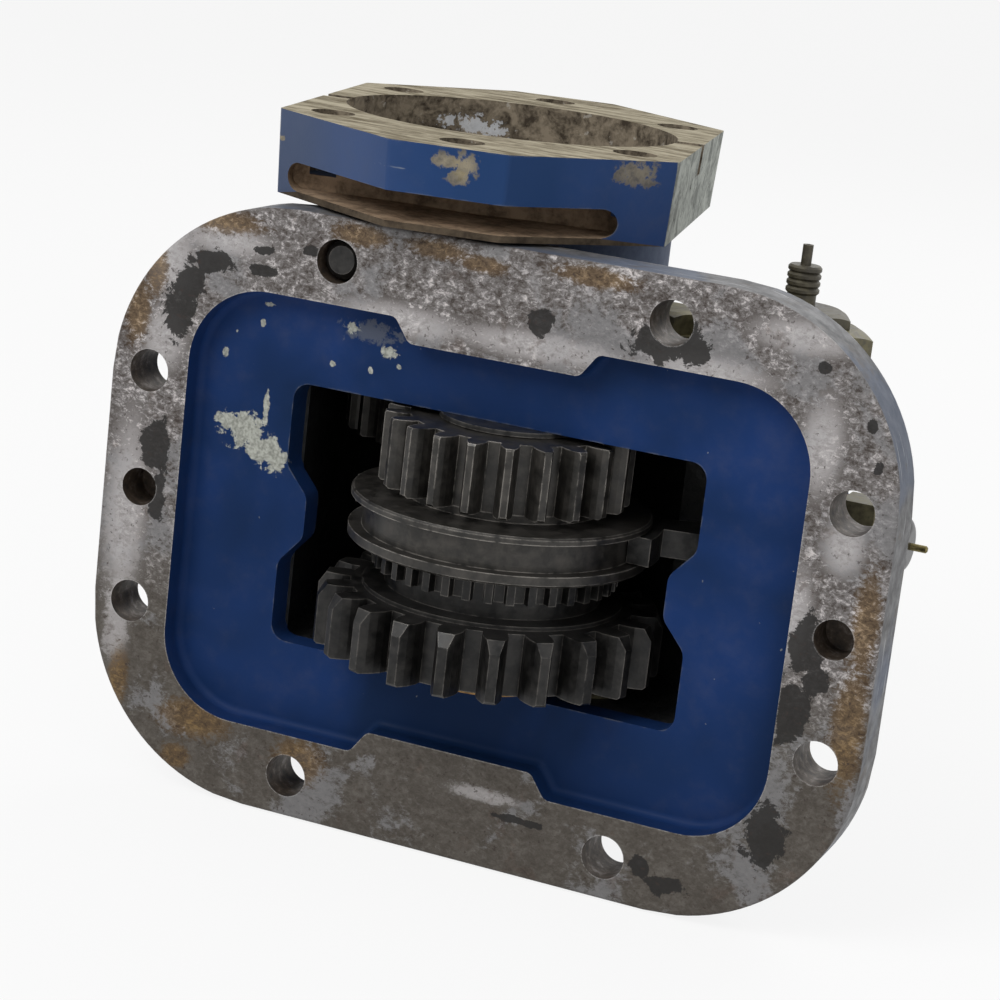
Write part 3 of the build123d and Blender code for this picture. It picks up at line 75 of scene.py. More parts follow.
# The casting's hollow: belts round circles, given as x, y and radius.
CASE_CIRCLES = ((-56, 28, 12), (56, 28, 12), (0, 20, 54), (-35.5, 81.99, 44.5))
CASE_MARGIN = 3.5
SHIFT_CIRCLES = ((71.5, 50, 14.5), (35.75, 50, 14.5))
SHIFT_MARGIN = 2
HOLLOW_HALF_HEIGHT = 41.5

# The pump flange, in its own turned frame.
OUTPUT = Vector((-35.5, 81.99, 0))
PUMP_TURN = math.radians(11.6)
PUMP_TOP = 115.5
PUMP_BOTTOM = 91.0
PUMP_HOLES = ((44.9, 44.9), (-44.9, 44.9), (-44.9, -44.9), (44.9, -44.9), (0, 73), (0, -73))
PUMP_HOLE_REACH = 6.7
PUMP_HOLE_BOTTOM = 101.4
PILOT_REACH = 51.5
NECK_REACH = 52.9
PUMP_END_START = 53.0
RELIEF_START = 40.0
RELIEF_WALL = 50.0
RELIEF_BOTTOM = 92.7
RELIEF_TOP = 101.5
RELIEF_END = 56.0
LIP_TOP = 92.95
LIP_ENDS = (-50.0, 44.0)
RIM_SLOT_START = 50.0
RIM_SLOT_HALF = 2.9
RIM_SLOT_BOTTOM = 106.4

# Marks on the mounting face, as x, z and the reach across and up.
PALE_MARKS = (
    (-104, 70, 7, 10), (-86, 78, 12, 4), (-30, 64, 17, 4), (14, 64, 22, 3.5), (-104, 46, 6, 8),
    (-112, -10, 6, 26), (62, 66, 16, 4), (97, 52, 5, 11), (107, 26, 5, 7), (88, 80, 12, 4), (96, 4, 4, 12),
    (-112, -44, 4, 12), (12, -68, 10, 2),
)
RUST_MARKS = (
    (-88, 83, 13, 3.4), (-113, 52, 4, 9), (-108, 66, 3.6, 8), (-44, 86, 9, 3), (-20, 86, 9, 2.6),
    (-6, 84, 7, 2.4), (-110, -60, 3.4, 10), (-83, -67, 12, 6), (-88, -80, 5, 4), (28, 86, 12, 3),
    (116, 6, 4, 14), (115.5, -24, 5, 18), (-47, -72, 8, 7),
)
GASKET_MARKS = (
    (-100, 56, 5.5, 9), (-97.5, 64.5, 5, 5), (-90, 71, 7.5, 3.4), (-73, 71, 5, 1.6), (-74, 77, 4, 1.4),
    (-104, 14, 4.5, 8), (-102, -1, 3.5, 7), (-58, 79, 4, 1.4), (13, 71, 3.6, 3.6), (48, 71, 9, 5),
    (57, 73, 5, 6), (101, -4, 5, 9), (99, -22, 5.5, 10), (104, -12, 4, 5), (96, -59, 6.5, 9), (92, 17, 2.6, 3),
    (62, -77, 3, 3), (70, -81, 5, 3), (24, -73, 7, 1.3), (113, 49, 1.6, 2), (95, 73, 1.8, 1.6),
    (110, 60, 1.4, 1.6),
)

# Marks elsewhere, as a middle and a reach along each axis.
WEB_CHIPS = (
    ((-84.5, 8, 23.5), (4.5, 3, 2.8)), ((-79, 8, 21.5), (6.5, 3, 5)), ((-73, 8, 17.5), (5.5, 3, 4.5)),
    ((-68, 8, 14.5), (3.5, 3, 4)), ((-72.6, 8, 29), (0.9, 3, 5.5)), ((-75, 8, 60.1), (1.7, 3, 0.8)),
    ((-76.2, 8, 54.2), (0.7, 3, 0.9)), ((-87.4, 8, 43.8), (0.9, 3, 1.3)), ((-84.4, 8, 50.4), (0.4, 3, 0.5)),
    ((-34.9, 8, 52.7), (2.4, 3, 1.6)), ((-52.5, 8, 46.3), (1, 3, 0.7)), ((-40.3, 8, 46.7), (0.8, 3, 0.9)),
    ((-31.7, 8, 49.2), (1, 3, 0.7)), ((-47.5, 8, 58), (2.4, 3, 1.4)),
)
WEB_SMEAR = ((-41, 8, 57.6), (8, 3, 2.6))
TAN_MARKS = (
    ((-12.5, -3, 111), (3.6, 9, 3.6)), ((-18, -3, 111.5), (5, 9, 2.2)), ((-14, -3, 107.5), (3.4, 9, 2.0)),
    ((25, 18, 112), (4.8, 30, 4.0)), ((-84, 20, 109), (1.3, 9, 3.0)), ((-81, 20, 107), (1.6, 9, 0.8)),
)
STREAK_ZONE = ((-26, -2, 109), (12, 12, 5))
BORE_FLAKES = (
    ((-66, 123, 107), (3.6, 6, 3)), ((-60, 126, 106), (3.6, 6, 2.6)), ((-72, 118, 108), (2, 6, 1.6)),
    ((-21, 130, 104), (0.6, 6, 0.8)), ((-17, 128, 104), (0.5, 6, 0.8)), ((-13, 126, 104), (0.5, 6, 0.7)),
)

# The studio and the camera. Lamps are given as name, place, size and share of light.
WORLD_LIGHT = 0.42
FLOOR_GLOW = 0.86
FLOOR_SIZE_M = 40
FLOOR_DROP_M = 0.0005
LAMP_TARGET_M = Vector((0, 0.05, 0.0))
LAMPS_M = (
    ("key", (-0.5, -1.1, 1.15), 0.9, 0.50),
    ("fill", (1.3, -0.9, 0.5), 1.2, 0.14),
    ("back", (0.2, 1.3, 1.1), 1.0, 0.25),
)
SENSOR_WIDTH = 36.0
CAMERA_LENS = 101.55
NEAREST_M = 0.02
CAMERA_PLACE = Vector((288.84, -717.57, 206.93))
CAMERA_RIGHT = Vector((0.91446, 0.38865, 0.11276))
CAMERA_DOWN = Vector((0.19404, -0.17658, -0.96497))
CAMERA_AHEAD = Vector((-0.35512, 0.90431, -0.23689))


class Look:
    """One material, built up from procedural nodes, with its lengths in millimetres."""

    def __init__(self, name):
        self.name = name
        self.material = bpy.data.materials.new(name)
        self.material.use_nodes = True
        self.tree = self.material.node_tree
        self.shader = self.tree.nodes["Principled BSDF"]
        self.place = self.add("ShaderNodeTexCoord").outputs["Object"]

    def add(self, kind, **settings):
        node = self.tree.nodes.new(kind)
        for key, value in settings.items():
            setattr(node, key, value)
        return node

    def feed(self, socket, value):
        if isinstance(value, bpy.types.NodeSocket):
            self.tree.links.new(value, socket)
        else:
            socket.default_value = value

    def math(self, operation, first, second):
        node = self.add("ShaderNodeMath", operation=operation)
        self.feed(node.inputs[0], first)
        self.feed(node.inputs[1], second)
        return node.outputs[0]

    def times(self, value, share):
        return self.math("MULTIPLY", value, share)

    def sum(self, *parts):
        """Two values, each times its share, added up."""
        shares = [value if share == 1 else self.times(value, share) for value, share in parts]
        return self.math("ADD", *shares)

    def most(self, first, *others):
        for value in others:
            first = self.math("MAXIMUM", first, value)
        return first

    def vector(self, operation, first, second, output="Vector"):
        node = self.add("ShaderNodeVectorMath", operation=operation)
        self.feed(node.inputs[0], first)
        self.feed(node.inputs[1], second)
        return node.outputs[output]

    def axis(self, index):
        """The place along one axis of the part, in metres."""
        node = self.add("ShaderNodeSeparateXYZ")
        self.feed(node.inputs[0], self.place)
        return node.outputs[index]

    def noise(self, size, detail, rough, warp=0.0, stretch=(1, 1, 1), seed=0.0):
        place = self.add("ShaderNodeMapping")
        self.feed(place.inputs["Vector"], self.place)
        place.inputs["Location"].default_value = (seed, 0.7 * seed, 1.3 * seed)
        place.inputs["Scale"].default_value = [axis / (size * MM) for axis in stretch]
        node = self.add("ShaderNodeTexNoise")
        self.feed(node.inputs["Vector"], place.outputs["Vector"])
        node.inputs["Scale"].default_value = 1.0
        node.inputs["Detail"].default_value = detail
        node.inputs["Roughness"].default_value = rough
        node.inputs["Distortion"].default_value = warp
        return node.outputs[0]

    def step(self, value, low, high, start=0.0, end=1.0):
        node = self.add("ShaderNodeMapRange", interpolation_type="SMOOTHSTEP")
        self.feed(node.inputs["Value"], value)
        node.inputs["From Min"].default_value = low
        node.inputs["From Max"].default_value = high
        node.inputs["To Min"].default_value = start
        node.inputs["To Max"].default_value = end
        return node.outputs["Result"]

    def tone(self, value, *stops):
        node = self.add("ShaderNodeValToRGB")
        self.feed(node.inputs["Fac"], value)
        ramp = node.color_ramp
        while len(ramp.elements) < len(stops):
            ramp.elements.new(0.5)
        for element, (position, colour) in zip(ramp.elements, stops):
            element.position = position
            element.color = (*colour, 1)
        return node.outputs["Color"]

    def mix(self, share, first, second):
        node = self.add("ShaderNodeMix", data_type="RGBA")
        self.feed(node.inputs["Factor"], share)
        for name, value in (("A", first), ("B", second)):
            socket = next(s for s in node.inputs if s.name == name and s.type == "RGBA")
            self.feed(socket, value if isinstance(value, bpy.types.NodeSocket) else (*value, 1))
        return next(s for s in node.outputs if s.type == "RGBA")

    def over(self, colour, mask, share, tint):
        """The colour with a share of a tint laid over it where the mask is 1."""
        return self.mix(self.times(mask, share), colour, tint)

    def stain(self, middle, reach, ragged, noise, soft=0.06):
        """1 inside an uneven spot. A reach of 0 along an axis leaves that axis out."""
        away = self.vector("SUBTRACT", self.place, [value * MM for value in middle])
        away = self.vector("MULTIPLY", away, [1 / (value * MM) if value else 0.0 for value in reach])
        distance = self.vector("LENGTH", away, (0, 0, 0), "Value")
        uneven = self.times(self.math("SUBTRACT", noise, 0.5), ragged)
        return self.step(self.math("ADD", distance, uneven), 0.98 - soft, 0.98 + soft, 1.0, 0.0)

    def edges(self, radius, low=0.86, high=0.985):
        """1 along the corners of the shape, 0 on its flats."""
        bevel = self.add("ShaderNodeBevel", samples=4)
        bevel.inputs["Radius"].default_value = radius * MM
        surface = self.add("ShaderNodeNewGeometry").outputs["Normal"]
        likeness = self.vector("DOT_PRODUCT", bevel.outputs["Normal"], surface, "Value")
        return self.step(likeness, low, high, 1.0, 0.0)

    def bump(self, height, depth, strength):
        node = self.add("ShaderNodeBump")
        node.inputs["Strength"].default_value = strength
        node.inputs["Distance"].default_value = depth * MM
        self.feed(node.inputs["Height"], height)
        self.feed(self.shader.inputs["Normal"], node.outputs["Normal"])

    def finish(self, colour, roughness, metallic, gloss=0.5):
        colour = colour if isinstance(colour, bpy.types.NodeSocket) else (*colour, 1)
        self.feed(self.shader.inputs["Base Color"], colour)
        self.feed(self.shader.inputs["Roughness"], roughness)
        self.feed(self.shader.inputs["Metallic"], metallic)
        self.shader.inputs["Specular IOR Level"].default_value = gloss
        return self


def on_face(marks):
    """Marks on the mounting face as a middle and a reach, with the depth left out."""
    return [((x, 0, z), (across, 0, up)) for x, z, across, up in marks]


def bare_face():
    """The mounting face: ground metal in salt and pepper, with rust, old gasket and handling marks, and pale
    corners that are partly worn metal and partly a painted highlight.
    """
    look = Look("bare_face")
    broad = look.noise(26, 4, 0.6, 0.5)
    patchy = look.noise(6.5, 6, 0.7, 0.4, seed=3)
    fleck = look.noise(1.9, 7, 0.78, 0.5, (1, 1, 1.5), seed=9)
    grain = look.noise(0.8, 2, 0.6, seed=29)
    both = look.sum((fleck, 0.68), (patchy, 0.32))
    calm = look.tone(
        both, (0.38, (0.056, 0.047, 0.039)), (0.5, (0.082, 0.072, 0.061)), (0.62, (0.125, 0.113, 0.099)))
    lively = look.tone(
        both, (0.40, (0.048, 0.038, 0.033)), (0.47, (0.120, 0.108, 0.102)), (0.53, (0.195, 0.183, 0.180)),
        (0.61, (0.60, 0.56, 0.55)))
    colour = look.mix(look.step(look.axis(2), -45 * MM, 5 * MM), calm, lively)
    smooth = look.step(look.sum((broad, 1), (fleck, 0.35)), 0.70, 0.79)
    colour = look.over(colour, smooth, 0.75, look.mix(fleck, (0.12, 0.12, 0.122), (0.27, 0.265, 0.27)))
    pale = look.mix(fleck, (0.22, 0.205, 0.20), (0.80, 0.77, 0.77))
    for place, reach in on_face(PALE_MARKS):
        colour = look.over(colour, look.stain(place, reach, 4.5, both, 0.4), 0.55, pale)
    mottle = look.step(look.noise(9, 5, 0.68, 0.3, seed=5), 0.58, 0.68)
    brown = look.tone(both, (0.4, (0.046, 0.034, 0.028)), (0.6, (0.12, 0.088, 0.07)))
    colour = look.over(colour, mottle, 0.5, brown)
    rust = look.tone(
        both, (0.38, (0.045, 0.027, 0.015)), (0.50, (0.115, 0.070, 0.030)), (0.62, (0.27, 0.165, 0.055)))
    for place, reach in on_face(RUST_MARKS):
        colour = look.over(colour, look.stain(place, reach, 4.0, both, 0.3), 0.8, rust)
    residue = look.mix(grain, (0.014, 0.0132, 0.0125), (0.023, 0.0215, 0.0205))
    marks = [look.stain(place, reach, 2.8, patchy) for place, reach in on_face(GASKET_MARKS)]
    colour = look.over(colour, look.most(*marks), 0.94, residue)
    speckle = look.step(look.noise(1.7, 5, 0.7, 0.3, seed=14), 0.60, 0.65)
    colour = look.over(colour, speckle, 0.7, (0.040, 0.028, 0.024))
    # Pale colour along the face's corners and hole rims: a painted highlight, partly bright worn metal.
    ring = look.times(look.edges(0.7), look.step(fleck, 0.4, 0.55))
    colour = look.over(colour, ring, 0.5, (0.60, 0.585, 0.57))
    look.bump(look.sum((both, 1), (grain, 0.3)), 0.16, 0.5)
    return look.finish(colour, look.step(patchy, 0.2, 0.8, 0.66, 0.5), 0.05, 0.22)


def blue_paint(name, deep, bright, dust=0.1, chipped=0.5):
    """Old deep blue paint with dust on it, chips to a pale primer and worn corners."""
    look = Look(name)
    broad = look.noise(55, 3, 0.5, 0.4, seed=2)
    fine = look.noise(5.5, 5, 0.62, seed=6)
    grain = look.noise(0.9, 2, 0.5, seed=4)
    colour = look.tone(broad, (0.34, deep), (0.66, bright))
    dusty = look.step(look.sum((broad, 0.5), (fine, 0.5)), 0.46, 0.74)
    colour = look.over(colour, dusty, dust, (0.15, 0.14, 0.12))
    torn = look.noise(3.2, 6, 0.72, 0.4, seed=41)
    colour = look.over(colour, look.stain(*WEB_SMEAR, 4.5, torn, 0.3), 0.5, (0.16, 0.17, 0.18))
    primer = look.tone(grain, (0.3, (0.22, 0.225, 0.20)), (0.7, (0.46, 0.47, 0.42)))
    chips = look.step(look.noise(4.5, 6, 0.7, 0.3, seed=11), 0.735, 0.75)
    dots = look.step(look.noise(2.4, 2, 0.4, seed=33), 0.80, 0.82)
    spots = [look.stain(place, reach, 3.4, torn, 0.1) for place, reach in WEB_CHIPS]
    colour = look.mix(look.most(look.times(look.most(chips, dots), chipped), *spots), colour, primer)
    worn = look.times(look.edges(0.8), look.step(fine, 0.44, 0.62))
    colour = look.over(colour, worn, 0.6, (0.17, 0.18, 0.18))
    look.bump(look.sum((fine, 0.6), (grain, 0.3)), 0.2, 0.4)
    return look, colour, look.step(fine, 0.2, 0.8, 0.34, 0.52)


def web_paint():
    """The blue of the casting."""
    look, colour, rough = blue_paint("blue_paint", (0.0075, 0.022, 0.068), (0.0125, 0.038, 0.140))
    return look.finish(colour, rough, 0.0, 0.05)


def flange_paint():
    """The brighter blue of the pump flange: greyer at its left end, with rubbed tan patches."""
    look, colour, rough = blue_paint("flange_paint", (0.011, 0.040, 0.125), (0.020, 0.056, 0.175), 0.12, 0.8)
    fine = look.noise(3.5, 5, 0.65, seed=24)
    across = look.axis(0)
    colour = look.mix(look.step(across, -75 * MM, -50 * MM, 0.75, 0.0), colour, (0.048, 0.068, 0.125))
    colour = look.mix(look.step(across, -52 * MM, -20 * MM, 0.32, 0.0), colour, (0.062, 0.085, 0.140))
    tan = look.tone(fine, (0.36, (0.15, 0.125, 0.075)), (0.64, (0.38, 0.32, 0.19)))
    for place, reach in TAN_MARKS:
        colour = look.over(colour, look.stain(place, reach, 3.2, fine, 0.22), 0.72, tan)
    streak = look.step(look.noise(4, 3, 0.5, stretch=(0.25, 0.25, 2.2), seed=31), 0.64, 0.72)
    zone = look.stain(*STREAK_ZONE, 0.8, fine)
    colour = look.over(colour, look.times(streak, zone), 0.45, (0.30, 0.33, 0.36))
    return look.finish(colour, rough, 0.0, 0.15)


def neck_paint():
    """The flange's neck: brown dirt that leaves the blue bare toward the right."""
    look = Look("neck_paint")
    fine = look.noise(5, 5, 0.65, seed=8)
    uneven = look.times(look.math("SUBTRACT", fine, 0.5), 40 * MM)
    share = look.step(look.math("ADD", look.axis(0), uneven), -16 * MM, 2 * MM)
    brown = look.tone(fine, (0.35, (0.032, 0.027, 0.021)), (0.65, (0.092, 0.080, 0.063)))
    blue = look.tone(fine, (0.35, (0.018, 0.035, 0.085)), (0.65, (0.045, 0.070, 0.125)))
    look.bump(fine, 0.3, 0.5)
    return look.finish(look.mix(share, brown, blue), 0.6, 0.0, 0.3)


def rim_metal():
    """The side of the mounting flange: paint rubbed down to grey metal, with a bright front edge that is
    partly worn metal and partly a painted highlight.
    """
    look = Look("rim_metal")
    fine = look.noise(5, 5, 0.65, seed=8)
    broad = look.noise(40, 3, 0.55, seed=12)
    grey = look.tone(fine, (0.34, (0.070, 0.070, 0.072)), (0.66, (0.165, 0.165, 0.17)))
    bluish = look.mix(fine, (0.055, 0.070, 0.105), (0.13, 0.15, 0.195))
    colour = look.mix(look.step(broad, 0.46, 0.62), grey, bluish)
    rust = look.step(look.noise(11, 5, 0.6, seed=17), 0.56, 0.66)
    colour = look.over(colour, rust, 0.5, (0.085, 0.066, 0.048))
    scratch = look.step(look.noise(3.5, 3, 0.5, stretch=(0.16, 3.5, 0.16), seed=21), 0.655, 0.70)
    colour = look.over(colour, scratch, 0.7, (0.42, 0.42, 0.43))
    # Pale colour along the corners: partly worn bare metal, partly a painted highlight.
    worn_edge_and_highlight = look.times(look.edges(0.7), look.step(fine, 0.42, 0.56))
    colour = look.over(colour, worn_edge_and_highlight, 0.7, (0.58, 0.57, 0.57))
    look.bump(fine, 0.2, 0.5)
    return look.finish(colour, look.step(fine, 0.2, 0.8, 0.6, 0.45), 0.1, 0.3)


def raw_iron():
    """The oily inside of the casting."""
    look = Look("raw_iron")
    fine = look.noise(4, 5, 0.65, seed=8)
    colour = look.tone(fine, (0.3, (0.008, 0.010, 0.012)), (0.7, (0.035, 0.034, 0.032)))
    look.bump(fine, 0.5, 0.7)
    return look.finish(colour, look.step(fine, 0.2, 0.8, 0.35, 0.65), 0.2)


def rusty_hole():
    """The wall of a bolt hole."""
    look = Look("rusty_hole")
    fine = look.noise(3, 5, 0.65, seed=8)
    colour = look.tone(
        fine, (0.3, (0.02, 0.018, 0.017)), (0.55, (0.07, 0.05, 0.035)), (0.75, (0.22, 0.2, 0.19)))
    look.bump(fine, 0.3, 0.6)
    return look.finish(colour, look.step(fine, 0.2, 0.8, 0.6, 0.45), 0.3)


def dirt(name, dark, light, size, speckle=0.0, stretch=(1, 1, 1), flakes=()):
    """Caked dirt in two tones, with pale specks, or dark ones for a speckle under 0, and paint flakes."""
    look = Look(name)
    broad = look.noise(size, 5, 0.62, 0.8, stretch, seed=3)
    fine = look.noise(1.6, 4, 0.6, stretch=stretch, seed=7)
    both = look.sum((broad, 0.68), (fine, 0.32))
    colour = look.tone(both, (0.40, dark), (0.58, light))
    if speckle:
        specks = look.step(look.noise(3.2, 5, 0.65, seed=13), 0.64, 0.67)
        spot = (0.62, 0.60, 0.55) if speckle > 0 else (0.06, 0.058, 0.05)
        colour = look.over(colour, specks, abs(speckle), spot)
    if flakes:
        white = look.mix(fine, (0.34, 0.35, 0.36), (0.86, 0.88, 0.92))
        for place, reach in flakes:
            colour = look.over(colour, look.stain(place, reach, 4.5, fine, 0.25), 0.9, white)
    look.bump(both, 0.4, 0.7)
    return look.finish(colour, 0.9, 0.0, 0.2)


def gear_steel(name, dark, light, worn=0.22, metallic=0.55):
    """Dark oiled steel with brighter corners, partly worn bare steel and partly a painted highlight, greasy
    patches and fine turning marks.
    """
    look = Look(name)
    fine = look.noise(4, 5, 0.62, seed=5)
    marks = look.noise(2.2, 2, 0.5, stretch=(0.2, 0.2, 4), seed=15)
    grease = look.step(look.noise(8, 5, 0.65, 0.4, seed=23), 0.46, 0.62)
    colour = look.tone(fine, (0.34, dark), (0.66, light))
    colour = look.over(colour, grease, 0.55, [0.45 * value for value in dark])
    # Brighter corners and tooth tips, in the colour given by worn: partly worn bare steel, partly a painted
    # highlight.
    corner = look.times(look.edges(0.6, 0.84, 0.97), look.step(fine, 0.34, 0.56))
    colour = look.over(colour, corner, 0.9, (worn, 0.93 * worn, 0.84 * worn))
    look.bump(look.sum((fine, 0.5), (marks, 0.5)), 0.12, 0.5)
    return look.finish(colour, look.step(fine, 0.2, 0.8, 0.28, 0.5), metallic)


def plated(name, dark, light, metallic):
    """Dull plated metal with grime."""
    look = Look(name)
    fine = look.noise(3, 5, 0.65, seed=5)
    grime = look.step(look.noise(7, 5, 0.65, seed=19), 0.48, 0.66)
    colour = look.over(look.tone(fine, (0.3, dark), (0.7, light)), grime, 0.7, (0.03, 0.026, 0.02))
    look.bump(fine, 0.15, 0.5)
    return look.finish(colour, look.step(fine, 0.2, 0.8, 0.38, 0.6), metallic)


def moulded(name, dark, light, roughness):
    """Moulded plastic, rubber or gasket sheet."""
    look = Look(name)
    fine = look.noise(2.5, 4, 0.6, seed=5)
    look.bump(fine, 0.08, 0.5)
    return look.finish(look.tone(fine, (0.3, dark), (0.7, light)), roughness, 0.0)


ANGLES = [math.radians(3 * step) for step in range(120)]


def belt(circles):
    """How far a belt round some circles reaches in each direction."""
    return [max(x * math.cos(a) + y * math.sin(a) + radius for x, y, radius in circles) for a in ANGLES]


CASE_BELT = belt(CASE_CIRCLES)
SHIFT_BELT = belt(SHIFT_CIRCLES)


def inside(x, y, reaches, margin):
    """Whether a point lies within a belt and a margin round it."""
    return all(x * math.cos(a) + y * math.sin(a) <= reach + margin for a, reach in zip(ANGLES, reaches))


def rim_distance(x, z, corner):
    """How far a point lies outside the mounting face's outline with this corner radius."""
    across, up = abs(x) - FACE_HALF[0] + corner, abs(z) - FACE_HALF[1] + corner
    return math.hypot(max(across, 0), max(up, 0)) + min(max(across, up), 0) - corner


def rounded_casting():
    """The housing with the wider corner radius of the photograph, inside the solid's outline."""
    piece = bpy.data.objects.new("rounded_housing", nodes["housing"].data.copy())
    bpy.context.scene.collection.objects.link(piece)
    piece.matrix_world = nodes["housing"].matrix_world.copy()
    work = bmesh.new()
    work.from_mesh(piece.data)
    for half, axis in zip(FACE_HALF, (Vector((1, 0, 0)), Vector((0, 0, 1)))):
        for normal in (axis, -axis):
            everything = work.verts[:] + work.edges[:] + work.faces[:]
            start = (half - WORN_CORNER) * MM * normal
            bmesh.ops.bisect_plane(work, geom=everything, plane_co=start, plane_no=axis)
    for vertex in work.verts:
        x, y, z = vertex.co / MM
        depth = rim_distance(x, z, SOLID_CORNER)
        across, up = abs(x) - FACE_HALF[0] + WORN_CORNER, abs(z) - FACE_HALF[1] + WORN_CORNER
        if y < FACE_THICK + CLOSE and depth > -RIM_DEPTH and min(across, up) > 0.01:
            change = (WORN_CORNER + depth) / math.hypot(across, up) - 1
            vertex.co.x += math.copysign(1, x) * across * change * MM
            vertex.co.z += math.copysign(1, z) * up * change * MM
    work.to_mesh(piece.data)
    work.free()
    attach(piece, "housing")
    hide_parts("housing")
    return piece


def housing_rule(middle, normal):
    """The name of the look for one face of the housing."""
    x, y, z = middle
    on_rim = abs(rim_distance(x, z, WORN_CORNER)) < RIM_REACH
    in_hole = any(math.hypot(abs(x) - hx, abs(z) - hz) < reach for hx, hz, reach in FACE_HOLES)
    if y < CLOSE / 2 and normal.y < -0.9:
        return "bare_face"
    if y < FACE_THICK + CLOSE and normal.y < 0.5 and in_hole:
        return "rusty_hole"
    if y < FACE_EDGE and on_rim:
        return "bare_face"
    if y < FACE_THICK - CLOSE:
        return "rim_metal" if on_rim else "blue_paint"
    hollow = inside(x, y, CASE_BELT, CASE_MARGIN) or inside(x, y, SHIFT_BELT, SHIFT_MARGIN)
    return "raw_iron" if hollow and abs(z) < HOLLOW_HALF_HEIGHT else "blue_paint"


def flange_rule(middle, normal):
    """The name of the look for one face of the pump flange."""
    upright = Matrix.Rotation(-PUMP_TURN, 3, "Z")
    x, y, z = upright @ (middle - OUTPUT)
    facing = upright @ normal
    radius = math.hypot(x, y)
    to_hole = min(math.hypot(x - hx, y - hy) for hx, hy in PUMP_HOLES)
    in_hole = z > PUMP_HOLE_BOTTOM and to_hole < PUMP_HOLE_REACH
    at_slot = abs(y) < RIM_SLOT_HALF and z > RIM_SLOT_BOTTOM and radius > RIM_SLOT_START
    if z > PUMP_TOP - CLOSE / 2 and normal.z > 0.9:
        return "khaki_dirt"
    if (radius < PILOT_REACH and z < PUMP_TOP) or in_hole:
        return "bore_dirt"
    if z < PUMP_BOTTOM - CLOSE:
        return "neck_paint"
    if at_slot and abs(facing.x) < 0.5:
        return "bore_dirt"
    if RELIEF_BOTTOM < z < RELIEF_TOP and abs(y) > RELIEF_START:
        wall = abs(abs(y) - RELIEF_WALL) < 3 * CLOSE or radius < NECK_REACH
        end = abs(facing.y) < 0.3 and abs(x) < RELIEF_END
        if wall or (abs(y) > RELIEF_WALL - 6 * CLOSE and (abs(facing.z) > 0.2 or end)):
            return "channel_dirt"
    if z < LIP_TOP and LIP_ENDS[0] < x < LIP_ENDS[1] and y < 0:
        return "brown_dirt"
    if z < PUMP_BOTTOM + CLOSE:
        return "neck_paint"
    if facing.x > 0.8 and radius > PUMP_END_START:
        return "worn_primer"
    return "flange_paint"


def dress(piece, looks, rule=None):
    """Gives a piece its looks. A rule picks one of them for each face."""
    mesh = piece.data
    mesh.materials.clear()
    for look in looks:
        mesh.materials.append(look.material)
    names = [look.name for look in looks]
    for polygon in mesh.polygons:
        polygon.material_index = names.index(rule(polygon.center / MM, polygon.normal)) if rule else 0


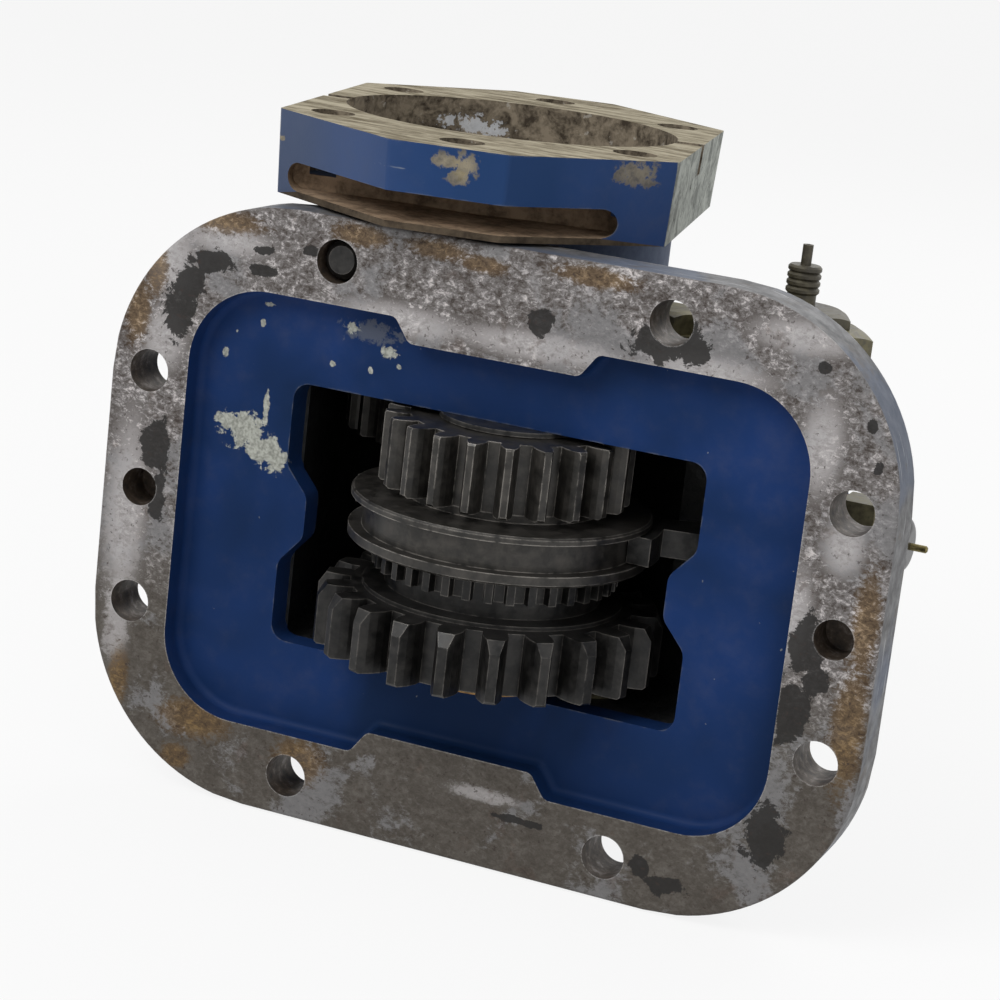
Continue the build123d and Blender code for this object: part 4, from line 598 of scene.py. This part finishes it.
def dress_all():
    """The looks of every piece."""
    paint = web_paint()
    gasket = moulded("gasket_sheet", (0.02, 0.02, 0.02), (0.06, 0.058, 0.052), 0.8)
    dark_gear = gear_steel("gear_steel", (0.018, 0.017, 0.015), (0.050, 0.046, 0.040))
    worn_gear = gear_steel("worn_steel", (0.020, 0.019, 0.017), (0.056, 0.051, 0.045), 0.42, 0.4)
    oily_gear = gear_steel("oily_steel", (0.011, 0.011, 0.011), (0.034, 0.032, 0.030), 0.17)
    ground = gear_steel("ground_steel", (0.25, 0.245, 0.24), (0.42, 0.41, 0.40), 0.6)
    black = gear_steel("black_steel", (0.02, 0.02, 0.02), (0.06, 0.058, 0.055), 0.25)
    olive = plated("olive_zinc", (0.060, 0.050, 0.022), (0.165, 0.145, 0.070), 0.25)
    brown = plated("brown_brass", (0.040, 0.034, 0.020), (0.100, 0.088, 0.055), 0.25)
    bronze = plated("bronze", (0.16, 0.09, 0.035), (0.36, 0.22, 0.09), 0.9)
    copper = plated("copper", (0.16, 0.07, 0.035), (0.36, 0.17, 0.09), 0.9)
    alloy = plated("alloy", (0.3, 0.3, 0.3), (0.5, 0.5, 0.5), 0.9)
    brass = plated("brass_pin", (0.12, 0.10, 0.04), (0.32, 0.27, 0.12), 0.9)
    rubber = moulded("seal_rubber", (0.006, 0.006, 0.006), (0.02, 0.02, 0.02), 0.55)
    insulator = moulded("insulator", (0.008, 0.008, 0.008), (0.02, 0.02, 0.02), 0.3)

    dress(rounded_casting(), [paint, bare_face(), rusty_hole(), rim_metal(), raw_iron()], housing_rule)
    dress(nodes["pump_flange"], [
        flange_paint(),
        dirt("khaki_dirt", (0.125, 0.100, 0.058), (0.46, 0.41, 0.30), 9, 0.25, (0.4, 1.8, 1)),
        dirt("bore_dirt", (0.052, 0.040, 0.028), (0.27, 0.225, 0.165), 7, 0.35, flakes=BORE_FLAKES),
        dirt("brown_dirt", (0.038, 0.028, 0.019), (0.090, 0.068, 0.046), 12),
        dirt("channel_dirt", (0.150, 0.105, 0.068), (0.36, 0.26, 0.175), 7),
        dirt("worn_primer", (0.19, 0.20, 0.185), (0.46, 0.48, 0.44), 8, -0.9),
        neck_paint(),
    ], flange_rule)
    plain = {
        paint: ["bottom_cover", "idler_plugs"],
        gasket: ["neck_gasket", "bottom_gasket"],
        black: ["neck_screws", "idler_lock_screw", "input_stop_washer", "input_snap_ring",
                "slider_stop_washer", "slider_snap_ring", "output_spacer", "shaft_snap_ring", "shift_fork",
                "fork_pin", "piston_screw", "return_spring"],
        ground: ["idler_shaft", "input_needles", "output_shaft", "output_key", "upper_inner_race",
                 "upper_outer_race", "upper_rollers", "lower_inner_race", "lower_outer_race", "lower_rollers",
                 "shift_rail"],
        dark_gear: ["output_gear"],
        worn_gear: ["sliding_gear"],
        oily_gear: ["input_gear", "left_bolt"],
        bronze: ["input_thrust_washer", "slider_bush"],
        copper: ["cap_washer", "switch_washer"],
        olive: ["cover_screws", "shift_cap", "switch_body", "oil_plug", "drain_plug"],
        brown: ["air_adapter", "air_tube"],
        alloy: ["shift_piston"],
        rubber: ["shaft_seal", "piston_seal"],
        insulator: ["switch_dome"],
        brass: ["switch_terminal"],
    }
    for look, names in plain.items():
        for name in names:
            dress(nodes[name], [look])


def seen_rays(tree):
    """1 for rays that show a surface, 0 for those that only carry light."""
    rays = tree.nodes.new("ShaderNodeLightPath")
    seen = rays.outputs["Is Camera Ray"]
    for name in ("Is Glossy Ray", "Is Transmission Ray"):
        most = tree.nodes.new("ShaderNodeMath")
        most.operation = "MAXIMUM"
        tree.links.new(seen, most.inputs[0])
        tree.links.new(rays.outputs[name], most.inputs[1])
        seen = most.outputs[0]
    return seen


def surround():
    """A surround that shows white and lights the part softly."""
    world = bpy.data.worlds.new("surround")
    bpy.context.scene.world = world
    world.use_nodes = True
    tree = world.node_tree
    strength = tree.nodes.new("ShaderNodeMapRange")
    strength.inputs["To Min"].default_value = WORLD_LIGHT
    strength.inputs["To Max"].default_value = 1.0
    tree.links.new(seen_rays(tree), strength.inputs["Value"])
    background = tree.nodes["Background"]
    background.inputs["Color"].default_value = (1, 1, 1, 1)
    tree.links.new(strength.outputs["Result"], background.inputs["Strength"])


def white_floor():
    """A floor that shows nearly white and keeps the part's shadow."""
    look = Look("floor").finish((0.85, 0.85, 0.85), 0.9, 0.0)
    white = look.add("ShaderNodeEmission")
    white.inputs["Color"].default_value = (1, 1, 1, 1)
    blend = look.add("ShaderNodeMixShader")
    look.feed(blend.inputs[0], look.times(seen_rays(look.tree), FLOOR_GLOW))
    look.feed(blend.inputs[1], look.shader.outputs[0])
    look.feed(blend.inputs[2], white.outputs[0])
    look.feed(look.tree.nodes["Material Output"].inputs["Surface"], blend.outputs[0])
    bpy.ops.mesh.primitive_plane_add(size=FLOOR_SIZE_M, location=(0, 0, cad_box[0][2] - FLOOR_DROP_M))
    floor = bpy.context.object
    floor.name = "floor"
    floor.data.materials.append(look.material)


def lamps():
    """Soft lamps, each with its share of a plain level of light."""
    for name, place, size, share in LAMPS_M:
        away = Vector(place) - LAMP_TARGET_M
        data = bpy.data.lights.new(name, "AREA")
        data.size = size
        data.energy = math.pi ** 2 * away.length_squared * share
        lamp = bpy.data.objects.new(name, data)
        lamp.location = place
        lamp.rotation_mode = "QUATERNION"
        lamp.rotation_quaternion = away.to_track_quat("Z", "Y")
        bpy.context.scene.collection.objects.link(lamp)


def camera():
    """The camera that took the photograph, solved from the face's bolt holes."""
    scene = bpy.context.scene
    data = bpy.data.cameras.new("camera")
    data.sensor_width = SENSOR_WIDTH
    data.lens = CAMERA_LENS
    data.clip_start = NEAREST_M
    eye = bpy.data.objects.new("camera", data)
    turn = Matrix((CAMERA_RIGHT, -CAMERA_DOWN, -CAMERA_AHEAD)).transposed()
    eye.matrix_world = Matrix.Translation(CAMERA_PLACE * MM) @ turn.to_4x4()
    scene.collection.objects.link(eye)
    scene.camera = eye


dress_all()
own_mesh(nodes["return_spring"])
surround()
white_floor()
lamps()
camera()
bpy.context.scene.view_settings.view_transform = "Standard"
